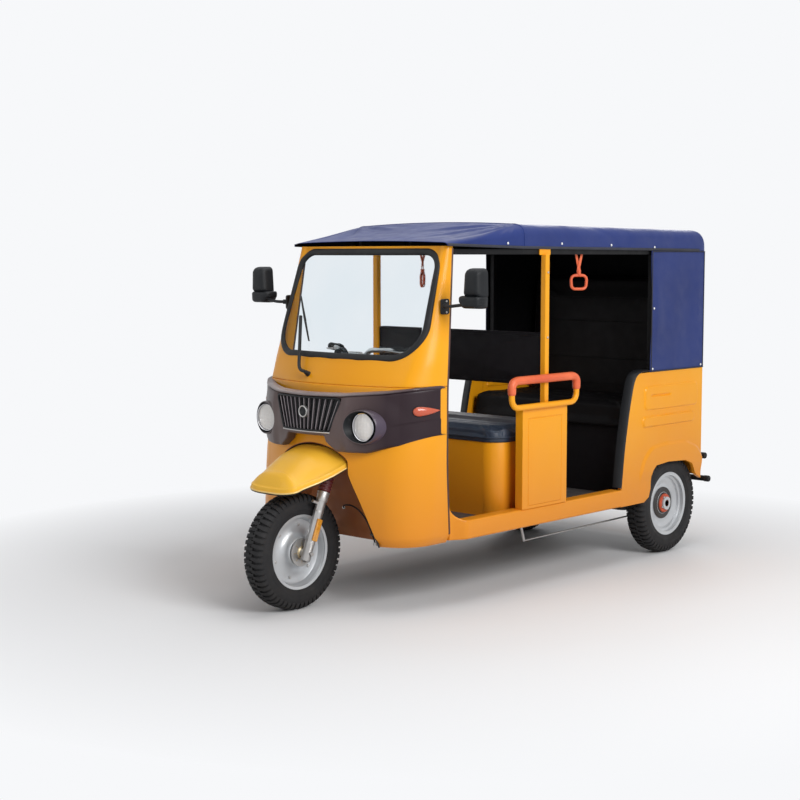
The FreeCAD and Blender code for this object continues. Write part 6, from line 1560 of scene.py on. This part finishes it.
def blown(name, patches, finishes, size, cap, replaces, hold):
    """Blow the blank up as cloth. Points where hold is true stay put."""
    thing = piece(name, patches, finishes, replaces=replaces, sharp=75)
    bpy.context.view_layer.objects.active = thing
    remesh = thing.modifiers.new("squares", "REMESH")
    remesh.mode = "VOXEL"
    remesh.voxel_size = size
    flat = thing.evaluated_get(bpy.context.evaluated_depsgraph_get())
    mesh = bpy.data.meshes.new_from_object(flat)
    thing.modifiers.clear()
    thing.data = mesh
    mesh.materials.clear()
    mesh.materials.append(finishes)
    count = len(mesh.vertices)
    rest = np.empty(count * 3, np.float32)
    mesh.vertices.foreach_get("co", rest)
    rest = rest.reshape(-1, 3)
    pinned = thing.vertex_groups.new(name="held")
    pinned.add(np.nonzero(hold(rest))[0].tolist(), 1.0, "REPLACE")
    cloth_run = thing.modifiers.new("cloth", "CLOTH")
    settings = cloth_run.settings
    settings.use_pressure = True
    settings.uniform_pressure_force = 4.0
    settings.vertex_group_mass = "held"
    settings.effector_weights.gravity = 0.0
    settings.quality = 5
    settings.tension_stiffness = settings.compression_stiffness = 25
    settings.shear_stiffness = 12
    settings.bending_stiffness = 1.0
    cloth_run.point_cache.frame_end = 20
    for step in range(1, 21):
        scene.frame_set(step)
    run = bpy.data.meshes.new_from_object(thing.evaluated_get(bpy.context.evaluated_depsgraph_get()))
    moved = np.empty(count * 3, np.float32)
    run.vertices.foreach_get("co", moved)
    move = moved.reshape(-1, 3) - rest
    far = np.linalg.norm(move, axis=1, keepdims=True)
    move = move * np.minimum(1, cap / np.maximum(far, 1e-9))
    mesh.vertices.foreach_set("co", (rest + move).astype(np.float32).ravel())
    thing.modifiers.clear()
    bpy.data.meshes.remove(run)
    scene.frame_set(1)
    print(name, "swelled by", round(float(np.linalg.norm(move, axis=1).max()) * 1000, 1), "mm")
    mesh.shade_smooth()
    finer = thing.modifiers.new("finer", "SUBSURF")
    finer.levels = finer.render_levels = 1
    return thing


def top_at(thing, x, y):
    """The height of a piece's top over a place, by a ray from above."""
    depsgraph = bpy.context.evaluated_depsgraph_get()
    tree = BVHTree.FromObject(thing, depsgraph)
    heights = []
    for a, b in zip(np.atleast_1d(x), np.atleast_1d(y)):
        hit = tree.ray_cast(Vector((float(a), float(b), 3.0)), Vector((0, 0, -1)))[0]
        heights.append(hit.z if hit else np.nan)
    heights = np.array(heights)
    return np.where(np.isnan(heights), np.nanmean(heights), heights)


# %% The seats
driver = blown("driver_seat_cover", [blank(0.452, (-0.298, -0.070), (0.6925, 0.757), 0.088, 0.012)], SEAT,
               0.006, 0.012, ["driver_cushion"], lambda p: p[:, 2] < 0.712)
blown("jump_seat_cover", [blank(0.452, (-0.020, 0.161), (0.6925, 0.757), 0.012, 0.012)], SEAT_GREY,
      0.006, 0.012, ["jump_cushion"], lambda p: p[:, 2] < 0.712)
bench = blown("bench_cover", [blank(0.504, (0.664, 1.126), (0.6905, 0.806), 0.035, 0.012)], BENCH,
              0.008, 0.014, ["bench_cushion"], lambda p: p[:, 2] < 0.715)


def back_blank():
    """The bench's leaning back as a rounded slab: depth runs along the lean."""
    foot, top = np.array([0, 1.134, 0.693]), np.array([0, 1.187, 1.446])
    lean = unit(top - foot)
    square = np.array([0, lean[2], -lean[1]])
    height = np.linalg.norm(top - foot)
    outline = four_corners((0.494, 0.002), (0.494, height), 0.02, 0.05, 8)

    def place(a, b, depth):
        points = foot + b[..., None] * lean + depth[..., None] * square
        return a, points[..., 1], points[..., 2]
    return slab(outline, [(0.012, 0.006), (0.003, 0.010), (0.0, 0.020), (0.0, 0.058), (0.004, 0.062)], place)


bench_rest = blown("bench_back_cover", [back_blank()], BENCH, 0.010, 0.016, ["bench_back"],
                   lambda p: p[:, 1] - 1.134 > 0.040 + (p[:, 2] - 0.693) * 0.0704)

# %% [markdown]
# ### Seams and piping
# Each seam is found on the finished cushion by dropping rays on it. A thin bead then follows that line,
# sunk by half its own thickness, the way a welt sits in a cover.

# %% Seams on the seats
def seat_seam(thing, x, y, radius=0.0026):
    """A bead along (x, y) on a cushion's top, sunk by half its thickness."""
    z = top_at(thing, x, y) - 0.0012
    return tube(xyz(x, y, z), radius, (0, 0, 1), 8)


x_line = np.linspace(-0.425, 0.425, 70)
seams = [seat_seam(driver, x_line, np.full(70, y)) for y in (-0.235, -0.180)]
piece("driver_seat_seams", seams, SEAT, sharp=60)
piping = by_length(four_corners((0.4535, -0.2995), (0.4535, -0.069), 0.088, 0.012, 16), 260)
piping = xyz(piping[:, 0] * 1.006, piping[:, 1] - 0.003 * (piping[:, 1] < -0.2), 0.716)
piece("driver_seat_piping", [tube(piping, 0.0036, (0, 0, 1), 8, closed=True)], SEAT, sharp=60)
bench_x = np.linspace(-0.47, 0.47, 80)
bench_seams = [seat_seam(bench, bench_x, np.full(80, y), 0.003) for y in (0.735, 0.880, 1.010)]
piece("bench_seams", bench_seams, BENCH, sharp=60)
REST_SEAMS = (0.860, 1.000, 1.200, 1.330)
rest_tree = BVHTree.FromObject(bench_rest, bpy.context.evaluated_depsgraph_get())
rest_seams = []
for z in REST_SEAMS:
    line = []
    for x in bench_x:
        hit = rest_tree.ray_cast(Vector((float(x), 0.3, z)), Vector((0, 1, 0)))[0]
        line.append((x, hit.y + 0.001, z))
    rest_seams.append(tube(line, 0.003, (0, 1, 0), 8))
piece("bench_back_seams", rest_seams, BENCH, sharp=60)

# %% [markdown]
# ### Partition board
# The board behind the driver is ply covered in black cloth, with a thin bright strip tacked along its
# free edges.

# %% Partition board
board_outline = four_corners((0.522, 0.951), (0.522, 1.199), 0.012, 0.012)
board = slab(board_outline, [(0.004, -0.0615), (0.0, -0.0585), (0.0, -0.0315), (0.004, -0.0285)],
             lambda a, b, depth: (a, depth, b))
piece("board_cover", [board], BOARD, replaces=["partition_board"], sharp=50)
inner = by_length(four_corners((0.507, 0.966), (0.507, 1.184), 0.010, 0.010), 200)
welts = [tube(xyz(inner[:, 0], y, inner[:, 1]), 0.0022, (0, 1, 0), 6, closed=True)
         for y in (-0.0612, -0.0288)]
piece("board_welts", welts, BOARD, sharp=60)

# %% [markdown]
# ## Tail lamps, plate, bumper caps
# The tail is plain pressed sheet with two red lamps, two black tubes with rubber caps, and the two
# holes for a number plate, which is left off.

# %% Tail
def lamp_box(inset, front, rear, round_edge):
    outline = rounded_outline([((0.500 - inset, 0.640 + inset), 0.010),
                               ((0.500 - inset, 0.720 - inset), 0.010),
                               ((0.380 + inset, 0.720 - inset), 0.010),
                               ((0.380 + inset, 0.640 + inset), 0.010)], 6)
    outline = outline[::-1]
    return slab(outline, [(0.0, front), (0.0, rear - round_edge),
                          (round_edge * 0.3, rear - round_edge * 0.3),
                          (round_edge, rear)], lambda a, b, depth: (a, depth, b))


piece("tail_lamp_bases", both(lamp_box(0.0, 1.3235, 1.3320, 0.002)), PLASTIC, replaces=["tail_lamps"],
      sharp=50)
piece("tail_lamp_lenses", both(lamp_box(0.004, 1.3320, 1.3480, 0.004)), RED_LENS, sharp=50)
caps = []
for z, end in ((0.480, 0.520), (0.356, 0.545)):
    caps.append(turned([(-0.022, 0.0152), (-0.022, 0.0170), (0.0, 0.0170), (0.004, 0.0160), (0.005, 0.012),
                        (0.005, 0)], (end - 0.0055, 1.407, z), (1, 0, 0), 24))
piece("bumper_caps", both(*caps), RUBBER, sharp=40)

# %% [markdown]
# ## The front brake cable
# One black cable leaves its clip at the frame rail, climbs inside the wheel arch and goes through a
# grommet in the arch's back wall. Its route is a short list of given points.

# %% Brake cable
CABLE_ROUTE = [(0.232, -0.889, 0.286), (0.218, -0.895, 0.330), (0.199, -0.905, 0.380),
               (0.174, -0.922, 0.424),
               (0.140, -0.935, 0.447), (0.098, -0.935, 0.447), (0.058, -0.915, 0.434),
               (0.026, -0.878, 0.420)]
curve = bpy.data.curves.new("brake_cable_line", "CURVE")
curve.dimensions = "3D"
curve.bevel_depth = 0.0035
curve.bevel_resolution = 4
curve.use_fill_caps = True
spline = curve.splines.new("NURBS")
spline.points.add(len(CABLE_ROUTE) - 1)
for point, place in zip(spline.points, CABLE_ROUTE):
    point.co = (*place, 1.0)
spline.order_u = 3
spline.use_endpoint_u = True
curve.materials.append(RUBBER)
cable = placed("brake_cable_line", curve)
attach(cable, "root")
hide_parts("brake_cable")
print("soft pieces and cable done")

# %% [markdown]
# ## Floor, backdrop and light
# The photograph is a studio cut-out: a pale floor that runs into white and soft light from all round.

# %% Stage
floor_material = bpy.data.materials.new("pale_floor")
floor_material.use_nodes = True
tree = floor_material.node_tree
shader = tree.nodes["Principled BSDF"]
shader.inputs["Base Color"].default_value = lin(240, 240, 241)
shader.inputs["Roughness"].default_value = 0.7
shader.inputs["Specular IOR Level"].default_value = 0.1
far = tree.nodes.new("ShaderNodeVectorMath")
far.operation = "LENGTH"
link(tree, coordinates(tree, (1, 1, 1)), far.inputs[0])
glow = tree.nodes.new("ShaderNodeEmission")
glow.inputs["Color"].default_value = lin(247, 248, 250)
fade_out = tree.nodes.new("ShaderNodeMixShader")
link(tree, ranged(tree, far.outputs["Value"], 1.5, 3.1), fade_out.inputs[0])
link(tree, shader.outputs[0], fade_out.inputs[1])
link(tree, glow.outputs[0], fade_out.inputs[2])
link(tree, fade_out.outputs[0], tree.nodes["Material Output"].inputs["Surface"])
floor_mesh = bpy.data.meshes.new("floor")
floor_corners = [(-14, -14, -0.001), (14, -14, -0.001), (14, 14, -0.001), (-14, 14, -0.001)]
floor_mesh.from_pydata(floor_corners, [], [(0, 1, 2, 3)])
floor_mesh.materials.append(floor_material)
placed("floor", floor_mesh)


def area_light(name, place, size, power, target=(0, 0, 0.8)):
    light = bpy.data.lights.new(name, "AREA")
    light.shape = "RECTANGLE"
    light.size, light.size_y = size
    light.energy = power
    lamp = placed(name, light)
    lamp.location = place
    lamp.rotation_euler = (Vector(target) - Vector(place)).to_track_quat("-Z", "Y").to_euler()


area_light("soft_key", (5.4, -1.6, 3.6), (3.2, 2.6), 250)
area_light("soft_front", (-1.5, -6.0, 3.4), (3.5, 3.0), 38)
area_light("soft_top", (0.5, 0.0, 5.5), (4.0, 4.0), 115)
area_light("soft_back", (-3.0, 5.5, 3.2), (3.0, 2.5), 70)
world = bpy.data.worlds.new("studio")
world.use_nodes = True
scene.world = world
tree = world.node_tree
background = tree.nodes["Background"]
rays = tree.nodes.new("ShaderNodeLightPath")
seen = rays.outputs["Is Camera Ray"]
for name in ("Is Glossy Ray", "Is Transmission Ray"):
    seen = maths(tree, "MAXIMUM", seen, rays.outputs[name])
background.inputs["Color"].default_value = lin(247, 248, 250)
link(tree, ranged(tree, seen, 0, 1, 0.15, 1.0), background.inputs["Strength"])
